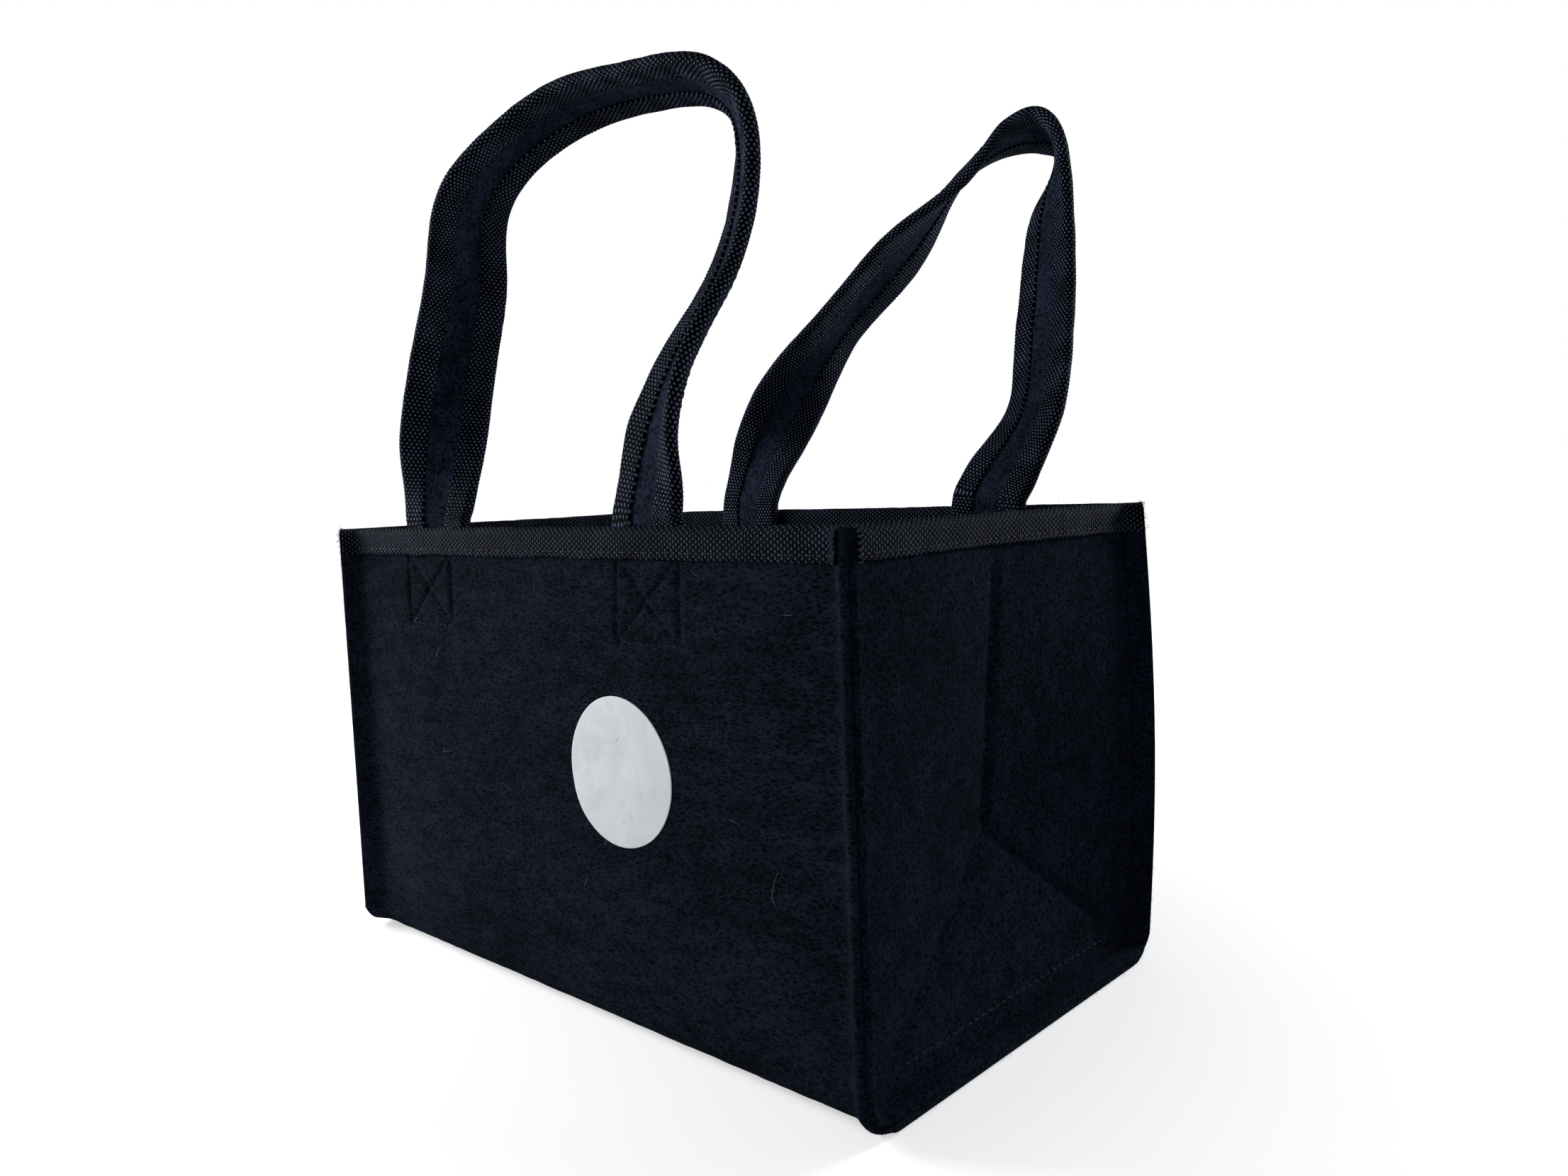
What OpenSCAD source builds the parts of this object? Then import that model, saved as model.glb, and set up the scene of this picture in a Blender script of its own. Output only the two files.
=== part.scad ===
// Open-topped felt carrier for six bottles, with two webbing-edged felt handles.
// Units are millimetres. X runs along the long walls, the front wall faces -Y,
// and the origin is the middle of the base where it rests.

/* [Bag body] */
// Length of the body over the outer faces of the end gussets
body_w = 238; // [210:1:270]
// Depth of the body over the outer faces of the long walls
body_d = 144; // [130:1:160]
// Height of the body to the top of the rim tape
body_h = 153; // [130:1:180]
// Thickness of the felt
felt_t = 3; // [2:0.25:4]
// Radius of the fold at the foot of each long wall
fold_r = 8; // [7:0.5:12]

/* [Seams] */
// Width of the raw seam edge that stands out at each corner
seam_w = 5; // [3:0.5:7]
// Thickness of the felt where it is pinched in a seam
ply_t = 2.4; // [1.6:0.1:2.6]
// Clearance between layers that are sewn together
sewn_gap = 0.1; // [0.05:0.05:0.2]

/* [Gusset creases] */
// Height of the point where the gusset creases meet
apex_h = 60; // [45:1:75]
// How far the crease point is tucked in
apex_tuck = 9; // [4:0.5:14]
// How far the rim is tucked in at the middle of a gusset
rim_tuck = 3.5; // [1:0.5:6]

/* [Webbing tape] */
// Thickness of the webbing tape
tape_t = 1; // [0.8:0.1:1.2]
// Height of the tape folded over the rim
rim_tape_h = 9; // [7:0.5:12]
// Width of the tape folded over each edge of a handle
edge_tape_w = 9.5; // [7:0.5:11]

/* [Handles] */
// Width of a handle strap
strap_w = 30; // [27:1:34]
// Thickness of the strap felt between its two tapes
strap_core_t = 3; // [2.4:0.1:3.6]
// Thickness of the strap felt under its tapes
strap_edge_t = 2.4; // [2:0.1:2.6]
// Distance from the middle of the wall to the farther foot of its handle
far_foot = 69; // [60:1:75]
// Distance from the middle of the wall to the nearer foot of its handle
near_foot = 46; // [38:1:54]
// Depth that the sewn ends of a handle reach below the rim
tab_len = 35; // [28:1:50]
// Height of the hinge line, where a strap bends, above the rim
hinge_rise = 3; // [2.8:0.1:5]
// Running clearance between a strap and its sewn end
hinge_gap = 0.3; // [0.2:0.1:0.5]
// Length of strap above each foot that stays flat, before it starts to twist
flat_len = 12; // [10:1:20]

/* [Front handle shape] */
// Rise of the front handle from its hinge line to the top of its loop
front_rise = 139; // [120:1:160]
// Lean of the front handle, towards the inside
front_lean = 12; // [5:1:18]
// How far each side of the front loop swells past its feet
front_swell = 26; // [0:1:35]
// How far the top of the front loop is pushed to the right
front_shift = 12; // [-10:1:25]
// Squareness of the front loop, where 2 is an ellipse
front_square = 3; // [2.2:0.1:3.6]
// How long the front loop keeps its twist near its feet, where 1 is even
front_twist = 1; // [1:0.1:2.4]

/* [Back handle shape] */
// Rise of the back handle from its hinge line to the top of its loop
back_rise = 146; // [120:1:160]
// Lean of the back handle, towards the outside
back_lean = 21; // [5:1:30]
// How far each side of the back loop swells past its feet
back_swell = -18; // [-25:1:30]
// How far the top of the back loop is pushed to the right
back_shift = 46; // [-10:1:55]
// Squareness of the back loop, where 2 is an ellipse
back_square = 2.7; // [2.2:0.1:3.6]
// How long the back loop keeps its twist near its feet, where 1 is even
back_twist = 2; // [1:0.1:2.4]

/* [Round label] */
// Diameter of the paper label
label_d = 45; // [30:1:60]
// Thickness of the paper label
label_t = 0.3; // [0.2:0.1:0.5]
// Place of the label along the front wall
label_x = 31; // [-60:1:60]
// Height of the middle of the label
label_z = 81; // [50:1:100]

/* [Hidden] */

felt_colour = "#15171c";
tape_colour = "#24272d";
paper_colour = "#f2f3f5";

half_w = body_w / 2;
half_d = body_d / 2;
// Top of the felt panels, under the rim tape
panel_top = body_h - tape_t - sewn_gap;

// Seam profile, in x and in n, the distance outward from a wall's outer face.
// On the uprights both raw edges stand out at 45 degrees, and along the base they lie flat.
slant = sqrt(0.5);
lay_flat = half_w + seam_w;
seam_root = [half_w - felt_t, -felt_t];
upright_tip = [half_w + seam_w * slant, seam_w * slant];
upright_wrap_tip = upright_tip + ply_t * [-slant, slant];
upright_gusset_tip = upright_tip + ply_t * [slant, -slant];
wrap_bend = [half_w - ply_t / slant, 0];
upright_gusset_bend = [half_w, -ply_t / slant];
base_tip = [lay_flat, -ply_t];
base_wrap_tip = [lay_flat, 0];
base_gusset_tip = [lay_flat, -2 * ply_t];
base_gusset_bend = [half_w, -2 * ply_t - ply_t / 4];

function mix(a, b, t) = a + (b - a) * t;
function sign_power(v, p) = sign(v) * pow(abs(v), p);

// Seam path in y and z: s is -1 at the front and 1 at the back, turn runs from 0 on the
// upright to 90 on the base, along is the height or the y of a straight stretch.
function seam_yz(s, turn, along, n) =
    turn <= 0 ? [s * (half_d + n), along] :
    turn >= 90 ? [along, -n] :
    [s * (half_d - fold_r + (fold_r + n) * cos(turn)), fold_r - (fold_r + n) * sin(turn)];

// A point of the seam profile, which lies flat before the turn at the foot of the wall ends
flat_turn = 60;
function seam_point(side, s, turn, along, upright, base) =
    let (p = mix(upright, base, max(0, min(1, turn / flat_turn))), yz = seam_yz(s, turn, along, p[1]))
    [side * p[0], yz[0], yz[1]];

// Closed solid between two grids of points with the same rows and columns.
// Cells of the columns from flip_col on are split along their other diagonal.
module sheet(outer, inner, flip_col = 0) {
    rows = len(outer);
    cols = len(outer[0]);
    size = rows * cols;
    points = [for (g = [outer, inner], row = g, p = row) p];
    function at(g, r, c) = g * size + r * cols + c;
    function cell(a, b, c, d, flip) = flip ? [[a, b, d], [b, c, d]] : [[a, b, c], [a, c, d]];
    faces = concat(
        [for (r = [0:rows - 2], c = [0:cols - 2])
            each cell(at(0, r, c), at(0, r, c + 1), at(0, r + 1, c + 1), at(0, r + 1, c), c >= flip_col)],
        [for (r = [0:rows - 2], c = [0:cols - 2])
            each cell(at(1, r, c), at(1, r + 1, c), at(1, r + 1, c + 1), at(1, r, c + 1), c < flip_col)],
        [for (c = [0:cols - 2])
            each cell(at(0, 0, c), at(1, 0, c), at(1, 0, c + 1), at(0, 0, c + 1), false)],
        [for (c = [0:cols - 2])
            each cell(at(0, rows - 1, c), at(0, rows - 1, c + 1),
                at(1, rows - 1, c + 1), at(1, rows - 1, c), false)],
        [for (r = [0:rows - 2])
            each cell(at(0, r, 0), at(0, r + 1, 0), at(1, r + 1, 0), at(1, r, 0), false)],
        [for (r = [0:rows - 2])
            each cell(at(0, r, cols - 1), at(1, r, cols - 1),
                at(1, r + 1, cols - 1), at(0, r + 1, cols - 1), false)]);
    polyhedron(points = points, faces = faces);
}

// Stations of the wrap panel: down the front wall, under the base and up the back wall
fold_steps = 6;
wrap_stations = concat(
    [for (z = [panel_top, body_h / 2, fold_r]) [-1, 0, z]],
    [for (i = [1:fold_steps - 1]) [-1, 90 * i / fold_steps, 0]],
    [for (i = [-1:1]) [1, 90, i * (half_d - fold_r)]],
    [for (i = [fold_steps - 1:-1:1]) [1, 90 * i / fold_steps, 0]],
    [for (z = [fold_r, body_h / 2, panel_top]) [1, 0, z]]);

// One row across the panel: raw edge, bend, bend, raw edge
function wrap_row(st, tips, bends) = [
    seam_point(-1, st[0], st[1], st[2], tips[0], tips[1]),
    seam_point(-1, st[0], st[1], st[2], bends[0], bends[1]),
    seam_point(1, st[0], st[1], st[2], bends[0], bends[1]),
    seam_point(1, st[0], st[1], st[2], tips[0], tips[1])];

// Front wall, base and back wall, cut as one piece of felt
module wrap_panel() {
    color(felt_colour)
        sheet([for (st = wrap_stations)
                wrap_row(st, [upright_wrap_tip, base_wrap_tip], [wrap_bend, wrap_bend])],
            [for (st = wrap_stations)
                wrap_row(st, [upright_tip, base_tip], [seam_root, seam_root])]);
}

// Gusset grid. Column 0 and the last are the raw edges, row 0 is the raw edge on the base,
// and the rows up to the apex share the columns' spacing so that the creases follow the grid.
crease_steps = 6;
last_col = 2 * crease_steps + 2;
upper_steps = 4;
tape_foot = panel_top - rim_tape_h;
low_turns = [62, 45, 22];
bend_turns = [90, 60, 30];
gusset_heights = concat([for (i = [1:crease_steps]) apex_h * i / crease_steps],
    [for (i = [1:upper_steps]) mix(apex_h, tape_foot, i / upper_steps)], [panel_top]);

// Depth of the tuck at a point of the gusset face
function tuck(y, z) =
    let (across = 1 - min(1, abs(y) / (half_d - felt_t)),
        depth = z < apex_h ? apex_tuck :
            mix(apex_tuck, rim_tuck, min(1, (z - apex_h) / (tape_foot - apex_h))))
    depth * max(0, min(across, z / apex_h));

// A point of the gusset, given its row, its column and the seam profile of its face
function gusset_point(side, r, c, tips, bends) =
    let (s = c <= crease_steps ? -1 : 1,
        edge = c == 0 || c == last_col,
        hem = c == 1 || c == last_col - 1,
        z = r > 2 ? gusset_heights[r - 3] : 0,
        share = (c - 1 - crease_steps) / crease_steps)
    edge ? seam_point(side, s, r > 2 ? 0 : low_turns[r], z, tips[0], tips[1]) :
    hem && r == 0 ? seam_point(side, s, 80, 0, tips[0], tips[1]) :
    r == 0 ? seam_point(side, s, 90, share * half_d, tips[0], tips[1]) :
    hem ? seam_point(side, s, r > 2 ? 0 : bend_turns[r], z, bends[0], bends[1]) :
    let (rim = seam_point(side, 1, r > 2 ? 0 : bend_turns[r], z, bends[0], bends[1]),
        y = r == 1 ? share * half_d : share * rim[1],
        face_z = r == 1 ? -bends[1][1] : rim[2])
    [side * (bends[0][0] - tuck(y, face_z)), y, face_z];

function gusset_face(side, tips, bends) =
    [for (r = [0:len(gusset_heights) + 2]) [for (c = [0:last_col]) gusset_point(side, r, c, tips, bends)]];

// One end of the body, with raw edges sewn to those of the wrap panel
module gusset(side) {
    clear_upright = sewn_gap * [slant, -slant];
    clear_base = [0, -sewn_gap];
    outer = gusset_face(side, [upright_gusset_tip, base_gusset_tip],
        [upright_gusset_bend, base_gusset_bend]);
    inner = gusset_face(side, [upright_tip + clear_upright, base_tip + clear_base],
        [seam_root + clear_upright, seam_root + clear_base]);
    color(felt_colour) {
        if (side > 0) sheet(inner, outer, crease_steps + 1);
        else sheet(outer, inner, crease_steps + 1);
    }
}

module left_gusset() { gusset(-1); }
module right_gusset() { gusset(1); }

// Plan of a rim tape's outer line at one end of a wall, at a distance from the felt.
// u runs along the wall and n outward; half is half the length of the wall.
function tape_bend(half, off) = [half - (ply_t + off) / slant + off, off];
function tape_tip(half, off, past = 0) =
    [half, 0] + (seam_w + past) * [slant, slant] + (ply_t + off) * [-slant, slant];
function mirrored(points) = [for (i = [len(points) - 1:-1:0]) [-points[i][0], points[i][1]]];

// Outline of the whole tape at one end, from its outer line round to its inner leg
function tape_outline(half) =
    let (leg_end = half - felt_t - tape_t - 3 * sewn_gap)
    [tape_bend(half, tape_t + sewn_gap), tape_tip(half, tape_t + sewn_gap),
        [half, 0] + seam_w * [slant, slant] + sewn_gap * [-slant, slant] / 2,
        [half - felt_t - sewn_gap, -felt_t], [leg_end, -felt_t],
        [leg_end, -felt_t - tape_t - sewn_gap]];

// Outline of the felt inside the tape, with clearance, open past the raw edge
function felt_outline(half) =
    [tape_bend(half, sewn_gap), tape_tip(half, sewn_gap, 1),
        [half, 0] + (seam_w + 1) * [slant, slant] + [slant, -slant],
        [half, -felt_t - sewn_gap]];

// Webbing tape folded over the top edge of one wall; tuck_in is the depth of a gusset's crease
module rim_tape(half, tuck_in) {
    whole = tape_outline(half);
    felt = felt_outline(half);
    color(tape_colour)
        difference() {
            translate([0, 0, body_h - rim_tape_h])
                linear_extrude(rim_tape_h)
                    polygon(concat([[0, tape_t + sewn_gap - tuck_in]], whole,
                        [[0, -felt_t - tape_t - sewn_gap - tuck_in]], mirrored(whole)));
            translate([0, 0, body_h - rim_tape_h - 1])
                linear_extrude(rim_tape_h + 1 - tape_t)
                    polygon(concat([[0, sewn_gap - tuck_in]], felt,
                        [[0, -felt_t - sewn_gap - tuck_in]], mirrored(felt)));
        }
}

module front_rim_tape() { translate([0, -half_d, 0]) mirror([0, 1, 0]) rim_tape(half_w, 0); }
module back_rim_tape() { translate([0, half_d, 0]) rim_tape(half_w, 0); }
module left_rim_tape() { translate([-half_w, 0, 0]) rotate(90) rim_tape(half_d, rim_tuck); }
module right_rim_tape() { translate([half_w, 0, 0]) rotate(-90) rim_tape(half_d, rim_tuck); }

// Strap section: a runs across the strap and b through it
strap_half_t = strap_edge_t / 2 + sewn_gap + tape_t;
tape_corner = tape_t * 0.6;
hinge_y = half_d - felt_t - tape_t - 2 * sewn_gap - strap_half_t;
hinge_z = body_h + hinge_rise;

// The felt is pressed thin under the tape, thinnest at its edge, and swells to its full
// thickness past the tape's lip
felt_swell = 0.5;
edge_press = 0.1;
core_half =
    let (edge = strap_w / 2 - tape_t - sewn_gap, under = strap_w / 2 - edge_tape_w - sewn_gap,
        thin = strap_edge_t / 2, full = strap_core_t / 2)
    [[-edge, edge_press - thin], [-under, -thin], [felt_swell - under, -full],
        [under - felt_swell, -full], [under, -thin], [edge, edge_press - thin]];
core_section = concat(core_half, [for (p = core_half) -p]);

// The tape wraps the edge of the felt as a flat U
tape_section =
    let (edge = strap_w / 2, lip = edge - edge_tape_w, slot = strap_edge_t / 2 + sewn_gap,
        back = edge - tape_t)
    [[lip, -strap_half_t], [edge - tape_corner, -strap_half_t], [edge, tape_corner - strap_half_t],
        [edge, strap_half_t - tape_corner], [edge - tape_corner, strap_half_t], [lip, strap_half_t],
        [lip, slot], [back, slot], [back, -slot], [lip, -slot]];
other_tape_section = [for (p = tape_section) -p];

function unit(v) = v / norm(v);
function running_sum(v) = [for (i = 0, t = 0; i <= len(v); t = t + (i < len(v) ? v[i] : 0), i = i + 1) t];

// Solid swept along frames, each a place, the across direction, the through direction
// and a share of the full thickness. Its faces are all split the same way, so that the
// twisted layers of a strap stay clear of each other.
module strap_sweep(frames, section) {
    n = len(section);
    points = [for (f = frames, p = section) f[0] + p[0] * f[1] + p[1] * f[3] * f[2]];
    last = (len(frames) - 1) * n;
    sides = [for (k = [0:len(frames) - 2], i = [0:n - 1])
        let (j = (i + 1) % n, a = k * n + i, b = k * n + j, c = b + n, d = a + n)
        each section[i][0] < section[j][0] ? [[a, c, b], [a, d, c]] : [[a, d, b], [b, d, c]]];
    polyhedron(points = points,
        faces = concat(sides, [[for (i = [0:n - 1]) i]], [[for (i = [n - 1:-1:0]) last + i]]));
}

// A handle is described by the side its wall is on, its feet and the shape of its loop:
// rise, lean towards +Y, swell, shift to the right, squareness and hold of the twist
front_feet = [-far_foot, near_foot];
back_feet = [-near_foot, far_foot];
front_shape = [front_rise, front_lean, front_swell, front_shift, front_square, front_twist];
back_shape = [back_rise, back_lean, back_swell, back_shift, back_square, back_twist];
loop_steps = 40;
// Power that keeps the first stretch above each foot upright
upright_power = 1.6;

// Points of the loop in its own leaning plane, across and up
function loop_plan(feet, shape) =
    let (mid = (feet[0] + feet[1]) / 2, half = (feet[1] - feet[0]) / 2, p = 2 / shape[4])
    [for (i = [0:loop_steps])
        let (a = 90 * (1 - cos(180 * i / loop_steps)), up = pow(sin(a), p),
            k = pow(up, upright_power))
        [mid + shape[3] * k - (half + shape[2] * k) * sign_power(cos(a), p), shape[0] * up]];

// Rounded ends of a strap, turned about the hinge line
foot_turns = [84, 60, 30];
function foot_frames(place, up, across, through, turns) =
    [for (a = turns) [place - strap_half_t * sin(a) * up, across, through, cos(a)]];

function handle_frames(wall, feet, shape) =
    let (up = [0, sin(shape[1]), cos(shape[1])], into = [0, cos(shape[1]), -sin(shape[1])],
        plan = loop_plan(feet, shape),
        places = [for (p = plan) [p[0], wall * hinge_y, hinge_z] + p[1] * up],
        steps = [for (i = [1:loop_steps]) norm(places[i] - places[i - 1])],
        run = running_sum(steps),
        middle = [for (i = [1:loop_steps - 1])
            let (along = unit(places[i + 1] - places[i - 1]),
                share = (2 * run[i] - run[loop_steps]) / (run[loop_steps] - 2 * flat_len),
                turn = 90 * (1 + sign_power(max(-1, min(1, share)), shape[5])),
                wide = [cos(turn), 0, 0] + sin(turn) * into,
                across = unit(wide - (wide * along) * along))
            [places[i], across, cross(along, across), 1]],
        right = [1, 0, 0], first = places[0], last = places[loop_steps],
        reversed = [for (i = [len(foot_turns) - 1:-1:0]) foot_turns[i]])
    concat(foot_frames(first, up, right, into, foot_turns), [[first, right, into, 1]], middle,
        [[last, -right, into, 1]], foot_frames(last, up, -right, into, reversed));

module handle_felt(wall, feet, shape) {
    color(felt_colour) strap_sweep(handle_frames(wall, feet, shape), core_section);
}

module handle_tape(wall, feet, shape, section) {
    color(tape_colour) strap_sweep(handle_frames(wall, feet, shape), section);
}

module front_handle_felt() { handle_felt(-1, front_feet, front_shape); }
module front_handle_outer_tape() { handle_tape(-1, front_feet, front_shape, other_tape_section); }
module front_handle_inner_tape() { handle_tape(-1, front_feet, front_shape, tape_section); }
module back_handle_felt() { handle_felt(1, back_feet, back_shape); }
module back_handle_outer_tape() { handle_tape(1, back_feet, back_shape, other_tape_section); }
module back_handle_inner_tape() { handle_tape(1, back_feet, back_shape, tape_section); }

// Sewn end of a strap: it passes over the inner leg of the rim tape and lies on the felt below
// it. Its side profile lies between two distances from the strap's middle, and runs on by past.
function tab_profile(wall, low, high, past) =
    let (near_wall = hinge_y + tape_t + sewn_gap, jog = body_h - rim_tape_h,
        rows = [[near_wall, body_h - tab_len - past], [near_wall, jog - 6],
            [hinge_y, jog - 0.5], [hinge_y, hinge_z - strap_half_t - hinge_gap + past]],
        sides = [for (i = [0:3])
            let (step = unit(rows[min(3, i + 1)] - rows[max(0, i - 1)])) [step[1], -step[0]]],
        edge = concat([for (i = [0:3]) rows[i] + high * sides[i]],
            [for (i = [3:-1:0]) rows[i] + low * sides[i]]))
    [for (p = edge) [wall * p[0], p[1]]];

module tab_slab(wall, x_range, half_t, past = 0) {
    translate([x_range[0], 0, 0])
        rotate([90, 0, 90])
            linear_extrude(x_range[1] - x_range[0])
                polygon(tab_profile(wall, -half_t, half_t, past));
}

module tab(wall, x) {
    full = strap_w / 2 - edge_tape_w - sewn_gap - felt_swell;
    thin = strap_w / 2 - tape_t - sewn_gap;
    color(felt_colour) {
        tab_slab(wall, [x - full, x + full], strap_core_t / 2);
        tab_slab(wall, [x - thin, x + thin], strap_edge_t / 2);
    }
}

// Tape folded over the left or right edge of a sewn end
module tab_tape(wall, x, side) {
    edge = strap_w / 2;
    color(tape_colour)
        translate([x, 0, 0])
            mirror([side < 0 ? 1 : 0, 0, 0])
                difference() {
                    tab_slab(wall, [edge - edge_tape_w, edge], strap_half_t);
                    tab_slab(wall, [edge - edge_tape_w - 1, edge - tape_t],
                        strap_edge_t / 2 + sewn_gap, 1);
                }
}

module front_left_tab() { tab(-1, front_feet[0]); }
module front_left_tab_outer_tape() { tab_tape(-1, front_feet[0], -1); }
module front_left_tab_inner_tape() { tab_tape(-1, front_feet[0], 1); }
module front_right_tab() { tab(-1, front_feet[1]); }
module front_right_tab_outer_tape() { tab_tape(-1, front_feet[1], 1); }
module front_right_tab_inner_tape() { tab_tape(-1, front_feet[1], -1); }
module back_left_tab() { tab(1, back_feet[0]); }
module back_left_tab_outer_tape() { tab_tape(1, back_feet[0], -1); }
module back_left_tab_inner_tape() { tab_tape(1, back_feet[0], 1); }
module back_right_tab() { tab(1, back_feet[1]); }
module back_right_tab_outer_tape() { tab_tape(1, back_feet[1], 1); }
module back_right_tab_inner_tape() { tab_tape(1, back_feet[1], -1); }

// Bare paper label stuck on the front wall
module round_label() {
    color(paper_colour)
        translate([label_x, -half_d, label_z])
            rotate([90, 0, 0])
                cylinder(d = label_d, h = label_t, $fn = 96);
}

wrap_panel();
left_gusset();
right_gusset();
front_rim_tape();
back_rim_tape();
left_rim_tape();
right_rim_tape();
front_handle_felt();
front_handle_outer_tape();
front_handle_inner_tape();
back_handle_felt();
back_handle_outer_tape();
back_handle_inner_tape();
front_left_tab();
front_left_tab_outer_tape();
front_left_tab_inner_tape();
front_right_tab();
front_right_tab_outer_tape();
front_right_tab_inner_tape();
back_left_tab();
back_left_tab_outer_tape();
back_left_tab_inner_tape();
back_right_tab();
back_right_tab_outer_tape();
back_right_tab_inner_tape();
round_label();
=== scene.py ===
"""Looks of the felt carrier: felt panels, webbing tape, twisted straps, stitches and loose fibres.

Sizes are in millimetres, as in the part's source, and become metres when a mesh is made.
X runs along the long walls, the front wall faces -Y, and z = 0 is the floor.
"""
import math

import bpy
import numpy as np
from mathutils import Matrix


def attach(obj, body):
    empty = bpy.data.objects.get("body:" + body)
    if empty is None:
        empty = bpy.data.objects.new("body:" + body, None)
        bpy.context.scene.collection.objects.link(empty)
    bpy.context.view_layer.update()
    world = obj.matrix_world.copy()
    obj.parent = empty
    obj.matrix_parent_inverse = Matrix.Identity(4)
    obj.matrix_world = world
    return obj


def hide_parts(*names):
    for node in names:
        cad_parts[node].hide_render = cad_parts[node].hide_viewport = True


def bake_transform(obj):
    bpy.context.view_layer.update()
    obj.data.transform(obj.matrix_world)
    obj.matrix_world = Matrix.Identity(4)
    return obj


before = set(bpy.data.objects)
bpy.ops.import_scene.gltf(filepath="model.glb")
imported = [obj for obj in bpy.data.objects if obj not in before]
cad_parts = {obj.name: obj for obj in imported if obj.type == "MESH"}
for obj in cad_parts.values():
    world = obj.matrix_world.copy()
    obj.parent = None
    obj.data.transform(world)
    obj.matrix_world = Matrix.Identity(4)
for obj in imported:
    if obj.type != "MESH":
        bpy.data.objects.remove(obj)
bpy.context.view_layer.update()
MM = 0.001

# Sizes of the part
BODY_W, BODY_D, BODY_H = 238.0, 144.0, 153.0
FELT, FOLD_R, SEAM_W, PLY, GAP = 3.0, 8.0, 5.0, 2.4, 0.1
APEX_H, APEX_TUCK, RIM_TUCK = 60.0, 9.0, 3.5
TAPE, RIM_TAPE_H, EDGE_TAPE_W = 1.0, 9.0, 9.5
STRAP_W, STRAP_CORE, STRAP_EDGE = 30.0, 3.0, 2.4
FAR_FOOT, NEAR_FOOT, TAB_LEN = 69.0, 46.0, 35.0
HINGE_RISE, FLAT_LEN = 3.0, 12.0
LABEL_D, LABEL_T, LABEL_X, LABEL_Z = 45.0, 0.3, 31.0, 81.0

HALF_W, HALF_D = BODY_W / 2, BODY_D / 2
PANEL_TOP = BODY_H - TAPE - GAP
TAPE_FOOT = PANEL_TOP - RIM_TAPE_H
SLANT = math.sqrt(0.5)
STRAP_HALF = STRAP_EDGE / 2 + GAP + TAPE
STRAP_LIP = STRAP_W / 2 - EDGE_TAPE_W
HINGE_Y = HALF_D - FELT - TAPE - 2 * GAP - STRAP_HALF
HINGE_Z = BODY_H + HINGE_RISE
# A strap end lies on the wall and comes away from it over the rim tape's lower edge
TAB_Y = HINGE_Y + TAPE + GAP
RIM_LOW = BODY_H - RIM_TAPE_H
JOG_LOW = RIM_LOW - 6.0

# Each handle: the side of its wall, its feet, then the rise, lean, swell, shift, squareness
# and hold of the twist of its loop
HANDLES = {
    "front": (-1, (-FAR_FOOT, NEAR_FOOT), (139, 12, 26, 12, 3.0, 1.0)),
    "back": (1, (-NEAR_FOOT, FAR_FOOT), (146, 21, -18, 46, 2.7, 2.0)),
}
FEET = {wall: feet for wall, feet, _ in HANDLES.values()}
# How the soft strap lies off that plain loop, at even shares of its length from foot to foot:
# right, back and up in mm, and its turn in degrees
LIE = {
    "front": ((-3, 0, -1, 12), (-1, -2, 1, 49), (0, -2, 1, 43), (-3, -7, -2, 38), (2, 2, 1, 7),
              (4, 5, -2, 3), (3, 5, -7, -14), (2, 4, -6, -5), (-1, -2, 0, 12), (-6, -1, -2, 3)),
    "back": ((0, 0, 0, 1), (0, 0, 1, 18), (2, 0, 1, 36), (5, 2, 1, 19), (4, 3, 4, 50),
             (-2, 5, 2, 4), (-2, 1, -1, -41), (3, 3, -6, -37), (10, 2, -7, -8), (2, 0, 0, 1)),
}
# How far the edges of a strap stand off its middle: everywhere, and at humps given by their
# height, their share of the strap's length and their width
CUPS = {
    "front": (1.0, ((1.2, 0.2, 70), (2.9, 0.91, 38))),
    "back": (0.9, ((0.8, 0.55, 60),)),
}
STRAP_SEEDS = {"front": 20, "back": 40}

# Stitches: the crossed box of a strap end, the lines on the tapes and the gusset's topstitching
BOX_HALF, BOX_LOW, BOX_HIGH, BOX_PITCH = 13.5, 119.5, 144.5, 2.8
TAPE_PITCH, RIM_STITCH_IN, STRAP_STITCH_IN = 3.1, 2.0, 1.6
TOPSTITCH_Z, TOPSTITCH_REACH, TOPSTITCH_PITCH, TOPSTITCH_LEN = 11.0, 58.0, 3.6, 2.8

# Half widths of the weave's cells on the tape, along it and across it
WEFT, WARP = 1.15, 0.8

# The back right corner's bulge, and where it starts
SAG, SAG_FROM_X, SAG_FROM_Y, SAG_WAY = 3.0, 60.0, 10.0, (0.9, 0.3, 0)


# Small maths

# Primes that scatter a lattice's corners, and the largest scattered value
HASH_AXES = np.array([374761393, 668265263, 2246822519])
HASH_TOP = 0x7FFFFFFF


def unit(v):
    return v / np.maximum(np.linalg.norm(v, axis=-1, keepdims=True), 1e-12)


def sign_power(v, p):
    return np.sign(v) * np.abs(v) ** p


def mix(a, b, t):
    return a + (b - a) * t


def ease(t):
    t = np.clip(t, 0, 1)
    return t * t * (3 - 2 * t)


def bell(distance, width):
    """1 at no distance, falling off over that width."""
    return np.exp(-(distance / width) ** 2)


def soft_min(a, b, k):
    return -np.log(np.exp(-k * a) + np.exp(-k * b)) / k


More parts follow.
